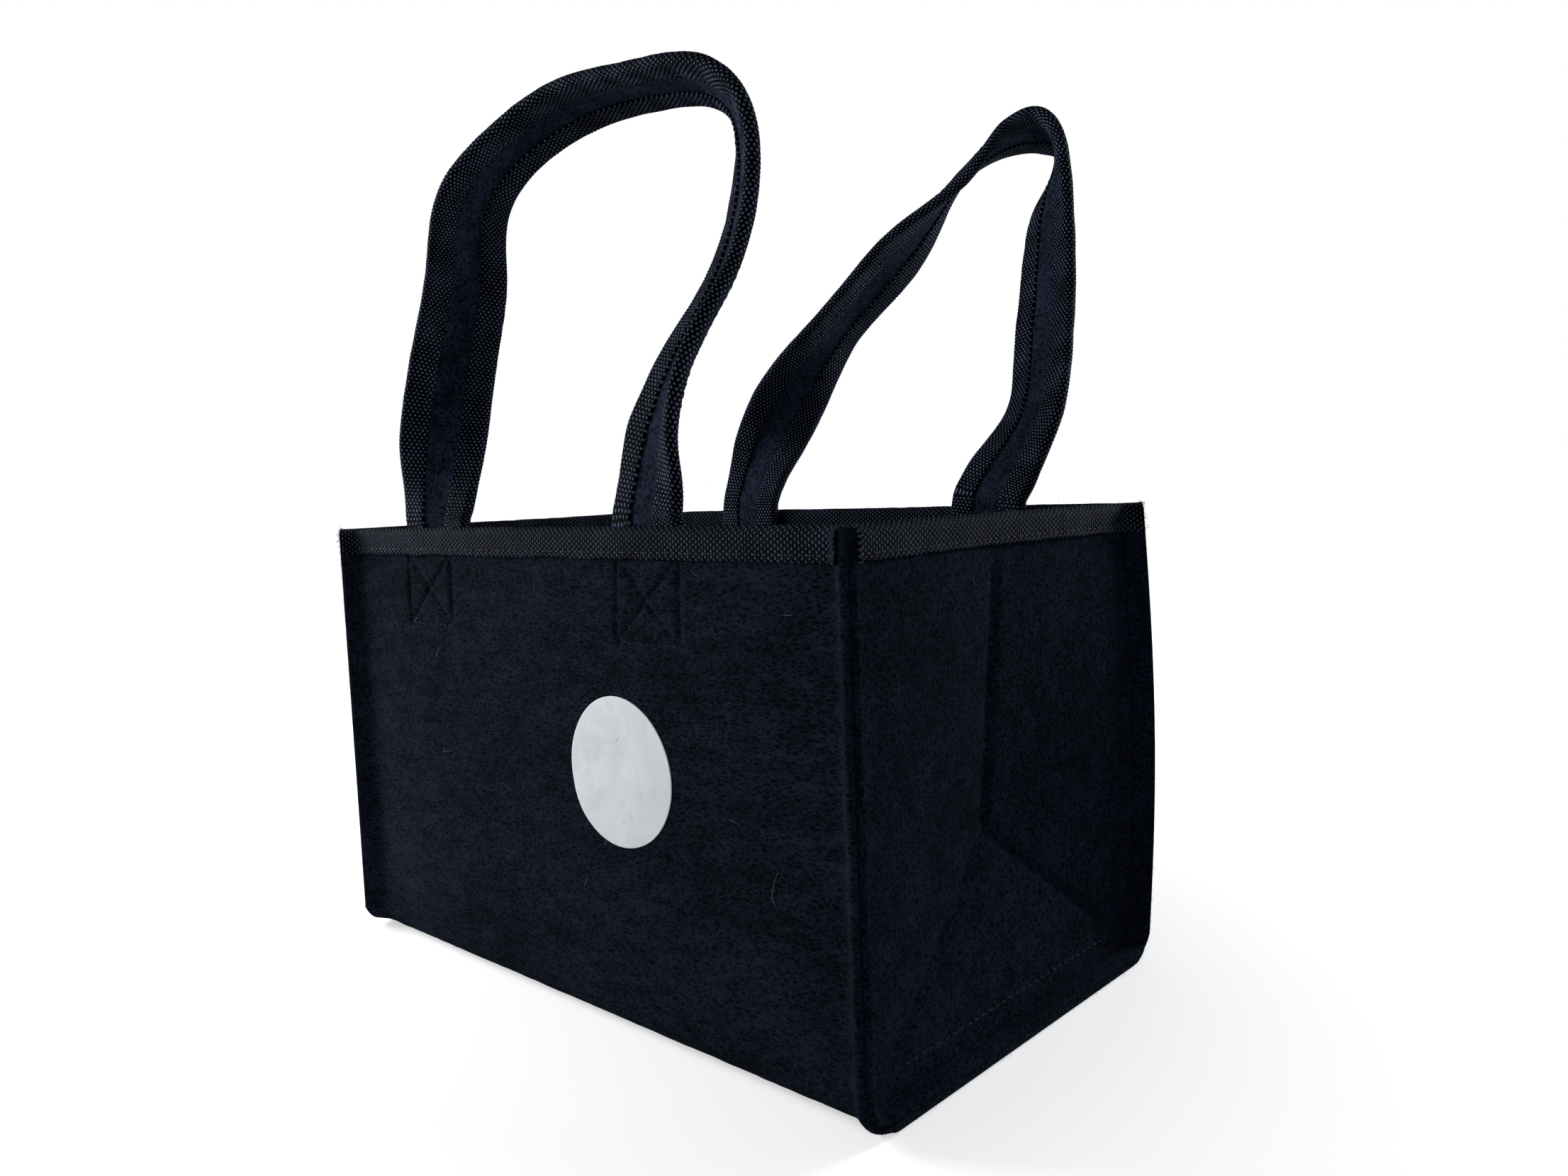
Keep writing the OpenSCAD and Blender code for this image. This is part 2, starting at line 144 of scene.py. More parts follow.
def lattice(points, cell, seed):
    """Smooth noise from -1 to 1 at points, with a lattice of that cell in millimetres."""
    q = points / cell + 31.7 * seed
    base = np.floor(q).astype(np.int64)
    f = ease(q - base)
    total = np.zeros(q.shape[:-1])
    for i in range(8):
        step = np.array([i & 1, i >> 1 & 1, i >> 2 & 1])
        h = (base + step) @ HASH_AXES + seed * 974634777
        h = ((h ^ (h >> 13)) * 1274126177) & HASH_TOP
        h = ((h ^ (h >> 15)) * 668265263) & HASH_TOP
        total += (h / (HASH_TOP // 2) - 1) * np.prod(np.where(step, f, 1 - f), axis=-1)
    return total


def waves(points, *layers):
    """Sum of smooth noises, each layer given by its height, cell and seed."""
    return sum(height * lattice(points, cell, seed) for height, cell, seed in layers)


def own_line(run, seed):
    """Points on a line of their own, for noise that varies along a path only."""
    return np.stack([run, np.zeros_like(run), np.full_like(run, seed)], 1)


def spread(stops):
    """Values from the first stop to the last. Each stop is its value and the step after it."""
    out = []
    for (a, step), (b, _) in zip(stops[:-1], stops[1:]):
        n = max(1, int(round(abs(b - a) / step)))
        out += [a + (b - a) * i / n for i in range(n)]
    return np.array(out + [stops[-1][0]])


def along_path(points):
    """Distance along a path at each of its points."""
    return np.concatenate([[0], np.cumsum(np.linalg.norm(np.diff(points, axis=0), axis=1))])


def sample(values, run, at):
    """Rows of values, known at the distances run, at other distances."""
    return np.stack([np.interp(at, run, values[:, i]) for i in range(values.shape[1])], -1)


def soften(points, sigma, step):
    """A path smoothed by a Gaussian of that width, with its ends kept."""
    n = max(1, int(3 * sigma / step))
    w = np.exp(-0.5 * (np.arange(-n, n + 1) * step / sigma) ** 2)
    w /= w.sum()
    head = 2 * points[0] - points[n:0:-1]
    tail = 2 * points[-1] - points[-2:-n - 2:-1]
    whole = np.concatenate([head, points, tail])
    return np.stack([np.convolve(whole[:, i], w, "valid") for i in range(points.shape[1])], 1)


def smooth_through(stops, share):
    """Values on a smooth curve through evenly spaced stops."""
    stops = np.array(stops, float)
    slope = np.zeros_like(stops)
    slope[1:-1] = (stops[2:] - stops[:-2]) / 2
    slope[0], slope[-1] = 0.8 * (stops[1] - stops[0]), 0.8 * (stops[-1] - stops[-2])
    t = np.clip(share, 0, 1) * (len(stops) - 1)
    i = np.minimum(t.astype(int), len(stops) - 2)
    f = (t - i)[:, None]
    g = 1 - f
    return (1 + 2 * f) * g * g * stops[i] + f * g * g * slope[i] \
        + (1 + 2 * g) * f * f * stops[i + 1] - g * f * f * slope[i + 1]


# Meshes

def sag(points):
    """The back right corner bulges a little at half height, in every mesh alike."""
    points = np.array(points, float)
    near = ease((points[:, 0] - SAG_FROM_X) / (HALF_W - SAG_FROM_X)) \
        * ease((points[:, 1] - SAG_FROM_Y) / (HALF_D - SAG_FROM_Y))
    bulge = SAG * near * np.sin(np.pi * np.clip(points[:, 2] / BODY_H, 0, 1))
    return points + bulge[:, None] * SAG_WAY


def add(name, data):
    """A new object in the scene."""
    obj = bpy.data.objects.new(name, data)
    bpy.context.scene.collection.objects.link(obj)
    return obj


def make(name, verts, faces, material, uv=None):
    """A smooth-shaded mesh object from points in millimetres."""
    mesh = bpy.data.meshes.new(name)
    mesh.from_pydata((sag(verts) * MM).tolist(), [], faces)
    mesh.validate(clean_customdata=False)
    mesh.shade_smooth()
    if uv is not None:
        layer = mesh.uv_layers.new(name="cloth_mm")
        index = np.empty(len(mesh.loops), np.int32)
        mesh.loops.foreach_get("vertex_index", index)
        layer.data.foreach_set("uv", np.asarray(uv, np.float32)[index].ravel())
    mesh.materials.append(material)
    obj = add(name, mesh)
    return obj


def grid_faces(rows, cols):
    r, c = np.meshgrid(np.arange(rows - 1), np.arange(cols - 1), indexing="ij")
    a = (r * cols + c).ravel()
    return np.stack([a, a + 1, a + cols + 1, a + cols], 1)


def grid_normals(grid):
    du = np.gradient(grid, axis=1)
    dv = np.gradient(grid, axis=0)
    return unit(np.cross(du, dv))


def outside_normals(outer, inner):
    """Normals of the outer grid of a cloth, away from its inner grid."""
    normal = grid_normals(outer)
    return normal * np.sign((normal * (outer - inner)).sum(2))[:, :, None]


def skin(grid, way, row, column):
    """Faces of a grid, turned so that they look along a way at one of its corners."""
    faces = grid_faces(*grid.shape[:2])
    return faces[:, ::-1] if grid_normals(grid)[row, column] @ way < 0 else faces


def thicken(outer, inner, faces, steps=4, bulge=0.75):
    """Closed cloth between two faces with the same corners: its points, its faces and the corner
    that each point comes from. The cut edge is rounded outward by bulge."""
    outer, inner = outer.reshape(-1, 3), inner.reshape(-1, 3)
    n = len(outer)
    pairs = np.concatenate([faces[:, [i, (i + 1) % faces.shape[1]]] for i in range(faces.shape[1])])
    key = pairs[:, 0] * n + pairs[:, 1]
    back = pairs[:, 1] * n + pairs[:, 0]
    border = pairs[~np.isin(key, back)]
    rim = np.unique(border)
    place = -np.ones(n, int)
    place[rim] = np.arange(len(rim))
    on_rim = place >= 0
    total, count = np.zeros((n, 3)), np.zeros(n)
    middle = (outer + inner) / 2
    for i in range(faces.shape[1]):
        for j in range(faces.shape[1]):
            a, b = faces[:, i], faces[:, j]
            k = on_rim[a] & ~on_rim[b]
            np.add.at(total, a[k], middle[b[k]])
            np.add.at(count, a[k], 1)
    count = np.maximum(count, 1)[:, None]
    out_dir = np.where(total.any(1)[:, None], unit(middle - total / count), 0)[rim]
    share = [k / steps for k in range(1, steps)]
    between = [mix(outer[rim], inner[rim], t) + bulge * math.sin(math.pi * t) * out_dir for t in share]
    index = [np.arange(n)] + [np.where(on_rim, 2 * n + k * len(rim) + place, 0)
                              for k in range(steps - 1)] + [n + np.arange(n)]
    a, b = border[:, 0], border[:, 1]
    sides = [np.stack([p[b], p[a], q[a], q[b]], 1) for p, q in zip(index[:-1], index[1:])]
    faces = np.concatenate([faces, n + faces[:, ::-1]] + sides)
    corners = np.concatenate([np.arange(n), np.arange(n)] + [rim] * (steps - 1))
    return np.concatenate([outer, inner] + between), faces, corners


def tubes(name, lines, normals, radii, material, sides=5):
    """Round threads along lines (count, points, 3), with a radius for each point of a line."""
    lines = np.asarray(lines, float)
    count, steps = lines.shape[:2]
    along = unit(np.gradient(lines, axis=1))
    up = unit(normals[:, None] - (normals[:, None] * along).sum(2)[:, :, None] * along)
    side = np.cross(along, up)
    angle = np.linspace(0, 2 * math.pi, sides, endpoint=False)
    radii = np.broadcast_to(radii, (count, steps))
    ring = np.cos(angle)[:, None] * side[:, :, None] + np.sin(angle)[:, None] * up[:, :, None]
    verts = (lines[:, :, None] + ring * radii[:, :, None, None]).reshape(-1, 3)
    k = np.arange(sides)
    turned = (k + 1) % sides
    a = (np.arange(count)[:, None, None] * steps + np.arange(steps - 1)[None, :, None]) * sides
    quads = np.stack(np.broadcast_arrays(a + k, a + sides + k, a + sides + turned, a + turned), -1)
    first = np.arange(count) * steps * sides
    ends = [f + k for f in first] + [f + (steps - 1) * sides + k[::-1] for f in first]
    return make(name, verts, quads.reshape(-1, 4).tolist() + [end.tolist() for end in ends], material)


def stitches(path, normals, pitch=3.0, length=2.2, radius=0.24, sink=0.12):
    """Threads of a line of stitches on a path: lines, their normals and their radii."""
    run = along_path(path)
    starts = np.arange(0.4, run[-1] - length, pitch)
    t = np.linspace(0, 1, 6)
    at = starts[:, None] + t * length
    lift = radius * (np.sin(np.pi * t) ** 0.5 * 1.5 - 1.0) - sink
    out = unit(sample(normals, run, at))
    lines = sample(path, run, at) + out * lift[:, None]
    return lines, out[:, 2], np.broadcast_to(radius * (0.75 + 0.25 * np.sin(np.pi * t)), at.shape)


# A loose fibre's sideways curl, how far round its arch goes, how deep its root is and its taper
FIBRE_CURL, FIBRE_ARCH, FIBRE_SUNK, FIBRE_TAPER = 0.7, 2.6, 0.05, 0.6


def fibres(roots, directions, count, length, seed, lift=0.5, radius=0.045):
    """Loose curled fibres on a cloth: lines, normals and radii. Roots and directions are rows
    to pick from."""
    chance = np.random.default_rng(seed)
    pick = chance.integers(0, len(roots), count)
    base, out = roots[pick], unit(directions[pick])
    flat = chance.normal(size=(count, 3))
    flat = unit(flat - (flat * out).sum(1)[:, None] * out)
    bend = np.cross(out, flat) * chance.normal(size=(count, 1)) * FIBRE_CURL
    reach = chance.uniform(*length, count)[:, None]
    high = lift * chance.uniform(0.3, 1.6, count)[:, None]
    t = np.linspace(0, 1, 6)
    arch = [high * math.sin(FIBRE_ARCH * a) - FIBRE_SUNK for a in t]
    lines = np.stack([base + flat * reach * a + bend * reach * a * a + out * up for a, up in zip(t, arch)], 1)
    return lines, out, np.broadcast_to(radius * (1 - FIBRE_TAPER * t), (count, len(t)))


def panel_fuzz(outer, inner, out, counts, seed):
    """Fibres on both faces of a felt panel."""
    return [fibres(outer, out, counts[0], (0.8, 3.2), seed, lift=0.25),
            fibres(inner, -out, counts[1], (0.8, 3.0), seed + 1, lift=0.3)]


def edge_fuzz(outer, inner, beside, seed):
    """Fibres on the raw edge of a felt panel; beside is the cloth next to it."""
    return fibres((outer + inner) / 2, outer - beside, 420, (0.5, 2.0), seed, lift=0.9)


def together(parts):
    return [np.concatenate(group) for group in zip(*parts)]


def loose(name, parts, material, sides=3):
    """Threads or fibres that ride on the bag."""
    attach(tubes(name, *together(parts), material, sides=sides), "bag")


# Materials

def nodes_of(name):
    material = bpy.data.materials.new(name)
    material.use_nodes = True
    tree = material.node_tree
    tree.nodes.clear()
    out = tree.nodes.new("ShaderNodeOutputMaterial")
    shader = tree.nodes.new("ShaderNodeBsdfPrincipled")
    tree.links.new(shader.outputs[0], out.inputs[0])
    return material, tree, shader


def node(tree, kind, links=None, **values):
    """A node with the given input values and links, by input name or number."""
    n = tree.nodes.new("ShaderNode" + kind)
    for key, value in values.items():
        if hasattr(n, key):
            setattr(n, key, value)
        else:
            n.inputs[key.replace("_", " ").title()].default_value = value
    for key, source in (links or {}).items():
        tree.links.new(source, n.inputs[key])
    return n


def fill(n, values):
    """Set a node's inputs by their names."""
    for name, value in values.items():
        n.inputs[name].default_value = value


def math_node(tree, operation, a, b=None):
    n = tree.nodes.new("ShaderNodeMath")
    n.operation = operation
    for i, v in enumerate([a, b]):
        if v is None:
            continue
        if isinstance(v, (int, float)):
            n.inputs[i].default_value = v
        else:
            tree.links.new(v, n.inputs[i])
    return n.outputs[0]


def weighted(tree, *parts):
    """Sum of values, each with its weight."""
    total = None
    for source, weight in parts:
        term = source if weight == 1 else math_node(tree, "MULTIPLY", source, weight)
        total = term if total is None else math_node(tree, "ADD", total, term)
    return total


def noise(tree, at, scale, detail, roughness=0.5):
    """Noise with that many cells per millimetre."""
    return node(tree, "TexNoise", {"Vector": at}, scale=scale, detail=detail, roughness=roughness).outputs[0]


def ramp(tree, source, stops):
    n = tree.nodes.new("ShaderNodeValToRGB")
    elements = n.color_ramp.elements
    while len(elements) < len(stops):
        elements.new(0.5)
    for e, (at, colour) in zip(elements, stops):
        e.position = at
        e.color = (*colour, 1)
    tree.links.new(source, n.inputs[0])
    return n.outputs[0]


def times(colour, factor):
    return tuple(c * factor for c in colour)


def stretched(tree, scale=(1, 1, 1)):
    """Object coordinates in millimetres, stretched along the axes."""
    coords = node(tree, "TexCoord").outputs["Object"]
    return node(tree, "Mapping", {0: coords}, scale=[s / MM for s in scale]).outputs[0]


def dress(tree, shader, colour, height, roughness, specular, bump, depth):
    """Colour, gloss and small relief of a surface; depth is the relief's depth in metres."""
    tree.links.new(colour, shader.inputs["Base Color"])
    fill(shader, {"Roughness": roughness, "Specular IOR Level": specular})
    bumped = node(tree, "Bump", {"Height": height}, strength=bump, distance=depth)
    tree.links.new(bumped.outputs[0], shader.inputs["Normal"])


def felt_material(name, grain, base):
    """Needled polyester felt: curled fibres, mottling and a soft sheen."""
    material, tree, shader = nodes_of(name)
    at = stretched(tree, grain)
    warp = node(tree, "TexNoise", {"Vector": at}, scale=0.55, detail=3.0, roughness=0.6)
    shift = node(tree, "VectorMath", {0: warp.outputs["Color"]}, operation="SCALE")
    fill(shift, {"Scale": 3.2})
    moved = node(tree, "VectorMath", {0: at, 1: shift.outputs[0]}, operation="ADD")
    curls = node(tree, "TexVoronoi", {"Vector": moved.outputs[0]}, feature="DISTANCE_TO_EDGE", scale=0.62)
    strands = math_node(tree, "SUBTRACT", 1.0, math_node(tree, "MULTIPLY", curls.outputs[0], 3.4))
    strands = math_node(tree, "MAXIMUM", strands, 0.0)
    fine = noise(tree, at, 2.2, 5.0, 0.7)
    mottle = noise(tree, at, 0.16, 4.0, 0.6)
    patch = noise(tree, at, 0.022, 2.0)
    height = weighted(tree, (strands, 0.55), (fine, 1))
    light = weighted(tree, (strands, 0.32), (fine, 0.75), (mottle, 0.45), (patch, 0.3))
    colour = ramp(tree, math_node(tree, "MULTIPLY", light, 0.62),
                  [(0.38, times(base, 0.18)), (0.53, times(base, 0.9)), (0.7, times(base, 3.8))])
    dress(tree, shader, colour, height, roughness=1.0, specular=0.02, bump=0.9, depth=0.00035)
    fill(shader, {"Sheen Weight": 0.008, "Sheen Roughness": 0.55, "Sheen Tint": (0.62, 0.8, 1.0, 1)})
    return material


def tape_material(name, base):
    """Ribbed polyester webbing: staggered warp floats over the weft, on the cloth_mm map, with painted
    highlights on the floats and painted shade between them.
    """
    material, tree, shader = nodes_of(name)
    uv = node(tree, "UVMap", uv_map="cloth_mm").outputs[0]
    at = stretched(tree)
    axes = node(tree, "SeparateXYZ", {0: uv})
    wobble = math_node(tree, "SUBTRACT", noise(tree, at, 0.35, 2.0), 0.5)
    jitter = math_node(tree, "MULTIPLY", wobble, 0.5)
    u = weighted(tree, (axes.outputs[0], 1), (jitter, 1))
    v = weighted(tree, (axes.outputs[1], 1), (jitter, 0.6))
    cu = math_node(tree, "COSINE", math_node(tree, "MULTIPLY", u, math.pi / WEFT))
    cv = math_node(tree, "COSINE", math_node(tree, "MULTIPLY", v, math.pi / WARP))
    both = math_node(tree, "MULTIPLY", cu, cv)
    lump = math_node(tree, "MULTIPLY", math_node(tree, "SIGN", both),
                     math_node(tree, "POWER", math_node(tree, "ABSOLUTE", both), 0.6))
    rib = math_node(tree, "MULTIPLY", cu, cu)
    yarn = noise(tree, at, 6.0, 3.0, 0.7)
    patch = noise(tree, at, 0.12, 3.0)
    height = weighted(tree, (lump, 0.5), (rib, 0.55), (yarn, 0.35))
    # Painted highlight and shade: the colour follows the weave's height, up to 14 times the base on the float
    # tops and down to 0.02 of it in the hollows, mixed with patchy yarn tone.
    light = weighted(tree, (height, 0.42), (patch, 0.4))
    colour = ramp(tree, light, [(0.33, times(base, 0.02)), (0.45, times(base, 0.4)), (0.6, times(base, 14))])
    dress(tree, shader, colour, height, roughness=0.68, specular=0.03, bump=1.0, depth=0.0007)
    return material


def thread_material(name, low, high):
    material, tree, shader = nodes_of(name)
    ply = noise(tree, stretched(tree), 4.0, 2.0)
    colour = ramp(tree, ply, [(0.3, low), (0.75, high)])
    dress(tree, shader, colour, ply, roughness=0.6, specular=0.15, bump=0.5, depth=0.00015)
    return material


def paper_material(name, low, high):
    material, tree, shader = nodes_of(name)
    at = stretched(tree)
    colour = ramp(tree, noise(tree, at, 0.17, 3.0, 0.6), [(0.36, low), (0.62, high)])
    fine = noise(tree, at, 2.5, 3.0)
    dress(tree, shader, colour, fine, roughness=0.55, specular=0.5, bump=0.15, depth=0.0002)
    return material


FELT_FRONT = felt_material("felt_brushed", (0.55, 1, 1.5), (0.0043, 0.006, 0.0106))
# Painted shade: the end gussets get a darker copy of the front felt, since the lamps light them less.
FELT_SIDE_SHADED = felt_material("felt_end_painted_shade", (1, 0.8, 0.9), (0.0028, 0.0045, 0.0093))
# Painted light: the strap cores get a lighter copy of the felt, near twice the front's, since their twist
# turns them from the lamps.
FELT_STRAP_LIGHTENED = felt_material("felt_strap_painted_light", (1, 1, 1), (0.0078, 0.011, 0.0205))
TAPE_CLOTH = tape_material("webbing", (0.0044, 0.006, 0.0101))
# Painted light: the strap tapes get a lighter copy of the rim webbing, near twice as light, since the lamps
# reach them less.
STRAP_CLOTH_LIGHTENED = tape_material("webbing_strap_painted_light", (0.0084, 0.0112, 0.019))
THREAD = thread_material("sewing_thread", (0.004, 0.005, 0.008), (0.022, 0.026, 0.034))
FIBRE = thread_material("loose_fibre", (0.012, 0.015, 0.023), (0.05, 0.06, 0.078))
LINT = thread_material("lint", (0.16, 0.18, 0.2), (0.4, 0.42, 0.45))
PAPER = paper_material("label_paper", (0.84, 0.855, 0.88), (0.93, 0.94, 0.95))


# Seam path and profiles

# Corners of each face of the corner seam, as x and distance outward from the wall: its raw edge
# and its bend on a wall, where the flange stands out at a slant, then the same two on the base,
# where it lies flat
TIP = np.array([HALF_W + SEAM_W * SLANT, SEAM_W * SLANT])
LAY = HALF_W + SEAM_W
ROOT = np.array([HALF_W - FELT, -FELT])
WRAP_OUT = (TIP + PLY * np.array([-SLANT, SLANT]), np.array([HALF_W - PLY / SLANT, 0.0]),
            np.array([LAY, 0.0]), np.array([HALF_W - PLY / SLANT, 0.0]))
WRAP_IN = (TIP, ROOT, np.array([LAY, -PLY]), ROOT)
CLEAR_UP, CLEAR_BASE = GAP * np.array([SLANT, -SLANT]), np.array([0.0, -GAP])
GUSSET_OUT = (TIP + PLY * np.array([SLANT, -SLANT]), np.array([HALF_W, -PLY / SLANT]),
              np.array([LAY, -2 * PLY]), np.array([HALF_W, -2.25 * PLY]))
GUSSET_IN = (TIP + CLEAR_UP, ROOT + CLEAR_UP, np.array([LAY, -PLY]) + CLEAR_BASE, ROOT + CLEAR_BASE)
FLAT_TURN, BEND_R = 60.0, 2.2

# Columns across the seam: a share of the flange from its bend to its raw edge, or mm back along
# the wall where it is negative
WRAP_SHARES = np.array([1.0, 0.86, 0.72, 0.56, 0.4, 0.24, 0.1, -0.001, -0.8, -1.6, -2.4])
GUSSET_SHARES = np.array([1.0, 0.86, 0.7, 0.54, 0.38, 0.22, 0.08, -0.001])


def flange_distance(bend, tip, share):
    """Distance from the bend for each share, and the flange's direction."""
    span = np.linalg.norm(tip - bend)
    return np.where(share > 0, share * span, share), (tip - bend) / span


def bent(bend, tip, share):
    """Points of a seam profile, with its bend rounded."""
    d, flange = flange_distance(bend, tip, share)
    wall = np.array([1.0, 0.0])
    t = np.clip((d + BEND_R) / (2 * BEND_R), 0, 1)
    curve = ((1 - t) ** 2)[:, None] * (bend - BEND_R * wall) + (2 * t * (1 - t))[:, None] * bend \
        + (t ** 2)[:, None] * (bend + BEND_R * flange)
    straight = bend + d[:, None] * np.where((d > 0)[:, None], flange, wall)
    return np.where((np.abs(d) < BEND_R)[:, None], curve, straight)


def profile(lines, turn):
    """Raw edge and bend of a seam profile at a turn of the seam path."""
    t = np.clip(turn / FLAT_TURN, 0, 1)
    return mix(lines[0], lines[2], t), mix(lines[1], lines[3], t)


def seam_stations(wall_z, base_step, turns):
    """Stations of the seam path from the front wall's top under the base to the back wall's top:
    the side of the wall, the turn of the fold and the place along the wall or the base."""
    fold = [float(t) for t in np.linspace(0, 90, turns)[1:-1]]
    base = spread([(-(HALF_D - FOLD_R), base_step), (HALF_D - FOLD_R, 0)])
    return [(-1, 0.0, z) for z in wall_z] + [(-1, t, 0.0) for t in fold] + [(1, 90.0, y) for y in base] \
        + [(1, t, 0.0) for t in fold[::-1]] + [(1, 0.0, z) for z in wall_z[::-1]]


def seam_yz(s, turn, along, n):
    """y and z at distance n outward from a wall's outer face."""
    if turn <= 0:
        return s * (HALF_D + n), np.full_like(n, along)
    if turn >= 90:
        return np.full_like(n, along), -n
    a = math.radians(turn)
    return (s * (HALF_D - FOLD_R + (FOLD_R + n) * math.cos(a)), FOLD_R - (FOLD_R + n) * math.sin(a))


# Front wall, base and back wall

# Rows and columns of the mesh: where each stretch starts and its step, finer at the strap ends
WRAP_ROWS = ((PANEL_TOP, 1.2), (147, 0.7), (116, 2.0), (FOLD_R, 0))
WRAP_COLUMNS = ((-86, 0.7), (-52, 2.0), (-50, 1.6), (28, 0.7), (62, 0.7), (86, 2.0))
SEAM_COLUMNS = 12
# A wall's bow, then its waves and its grain as height, cell and seed. The bow and the waves fade
# out over these distances from its sides, its rim and its foot
WALL_BOW, WALL_WAVES, WALL_GRAIN = 0.9, ((0.8, 62, 3), (0.45, 27, 4)), (0.16, 9, 5)
WALL_HOLD = (25, 30, 25)
# Where the stitches of a crossed box pull the wall in, round the foot of a strap
DENT_HALF, DENT_LOW, DENT_HIGH = 24, 110, 150


def segment_distance(x, z, a, b):
    a, b = np.array(a, float), np.array(b, float)
    d = b - a
    t = np.clip(((x - a[0]) * d[0] + (z - a[1]) * d[1]) / (d @ d), 0, 1)
    return np.hypot(x - a[0] - t * d[0], z - a[1] - t * d[1])


def box_stitch(foot):
    """Lines of the crossed box that sews down one strap end."""
    left, right, low, high = foot - BOX_HALF, foot + BOX_HALF, BOX_LOW, BOX_HIGH
    return [((left, low), (left, high)), ((right, low), (right, high)), ((left, low), (right, low)),
            ((left, high), (right, high)), ((left, low), (right, high)), ((left, high), (right, low))]


def sewn_dents(x, z, feet):
    """Depth that the box stitches pull into the wall, with puffs between them."""
    depth = np.zeros_like(x)
    for foot in feet:
        near = (np.abs(x - foot) < DENT_HALF) & (z > DENT_LOW) & (z < DENT_HIGH)
        d = np.min([segment_distance(x[near], z[near], a, b) for a, b in box_stitch(foot)], axis=0)
        depth[near] = np.maximum(depth[near], 0.75 * bell(d, 0.75) + 0.3 * bell(d, 2.4))
    return depth


def wall_bow(x, z, wall):
    """Gentle bow and waves of a long wall, outward, held at its seams and rim."""
    side, rim, foot = WALL_HOLD
    hold = ease((HALF_W - np.abs(x)) / side) * ease((BODY_H - z) / rim) * ease(z / foot)
    p = np.stack([x, np.full_like(x, 50.0 * wall), z], 1)
    return hold * (WALL_BOW + waves(p, *WALL_WAVES)) + waves(p, WALL_GRAIN)


def wrap_row(station, lines, inside):
    """Points across one face of the wrap at a station of the seam path."""
    s, turn, along = station
    tip, bend = profile(lines, turn)
    side = bent(bend, tip, WRAP_SHARES)
    face = 0.0 if lines is WRAP_OUT else -FELT
    x = np.concatenate([-side[:, 0], inside, side[::-1, 0]])
    n = np.concatenate([side[:, 1], np.full(len(inside), face), side[::-1, 1]])
    if turn <= 0:
        z = np.full_like(x, along)
        n = n + wall_bow(x, z, s) * (np.abs(x) < HALF_W - FELT)
        if lines is WRAP_OUT:
            n = n - sewn_dents(x, z, FEET[s])
    y, z = seam_yz(s, turn, along, n)
    return np.stack([x, y, z], 1)


def build_wrap():
    stations = seam_stations(spread(WRAP_ROWS), 3.0, 11)
    reach = ROOT[0] + WRAP_SHARES[-1]
    inside = spread([(-reach, 2.0), *WRAP_COLUMNS, (reach, 0)])[1:-1]
    outer, inner = [np.array([wrap_row(station, lines, inside) for station in stations])
                    for lines in (WRAP_OUT, WRAP_IN)]
    rough = waves(outer, (0.07, 3.2, 8), (0.1, 7, 9))
    outer = outer + outside_normals(outer, inner) * (rough * (outer[:, :, 2] > 0.6))[:, :, None]
    faces = skin(outer, np.array([0, -1, 0]), 5, 40)
    verts, faces, _ = thicken(outer, inner, faces)
    obj = make("felt_wrap", verts, faces.tolist(), FELT_FRONT)
    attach(obj, "bag")
    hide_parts("wrap_panel")
    column = np.arange(outer.shape[1])
    flat = (outer[:, :, 2] > 3) & (column > SEAM_COLUMNS) & (column < outer.shape[1] - SEAM_COLUMNS)
    out = unit(outer - inner)
    fuzz = panel_fuzz(outer[flat], inner[flat], out[flat], (2600, 700), 71)
    for edge, beside, seed in ((0, 4, 73), (-1, -5, 72)):
        fuzz.append(edge_fuzz(outer[:, edge], inner[:, edge], outer[:, beside], seed))
    loose("felt_wrap_fuzz", fuzz, FIBRE)
    loose("lint_on_wrap", [fibres(outer[flat], out[flat], 26, (1.2, 4.5), 77, radius=0.06)], LINT)


def build_box_stitches():
    """Thread of the crossed boxes, on the outside of each wall and on the strap ends inside."""
    parts = []
    for wall, foot in [(wall, foot) for wall, feet in FEET.items() for foot in feet]:
        for a, b in np.array(box_stitch(foot)):
            x, z = (a + np.linspace(0, 1, 40)[:, None] * (b - a)).T
            n = wall_bow(x, z, wall) - sewn_dents(x, z, [foot])
            middle = np.interp(z, [JOG_LOW, RIM_LOW], [TAB_Y, HINGE_Y])
            half = np.where(np.abs(x - foot) > STRAP_LIP, STRAP_HALF, STRAP_CORE / 2)
            out = np.tile([0.0, wall, 0.0], (len(x), 1))
            outside = np.stack([x, wall * (HALF_D + n), z], 1)
            inside = np.stack([x, wall * (middle - half), z], 1)
            parts.append(stitches(outside, out, pitch=BOX_PITCH, radius=0.2))
            parts.append(stitches(inside, -out, pitch=BOX_PITCH, radius=0.22, sink=0.05))
    loose("thread_box_stitches", parts, THREAD, sides=5)


# Gussets

GUSSET_STEP, TUCK_GAIN = 1.8, 1.2
# Creases: the middle one's radius, how sharply the others turn, and the pressed line on each
CREASE_R, CREASE_SHARP, PRESSED_DEPTH, PRESSED_W = 2.2, 34, 1.5, 1.8
GUSSET_BOW, GUSSET_WAVES, GUSSET_GRAIN = 0.5, ((0.9, 45, 11), (0.4, 19, 12)), (0.12, 7, 13)
GUSSET_HOLD = (18, 25, 18)


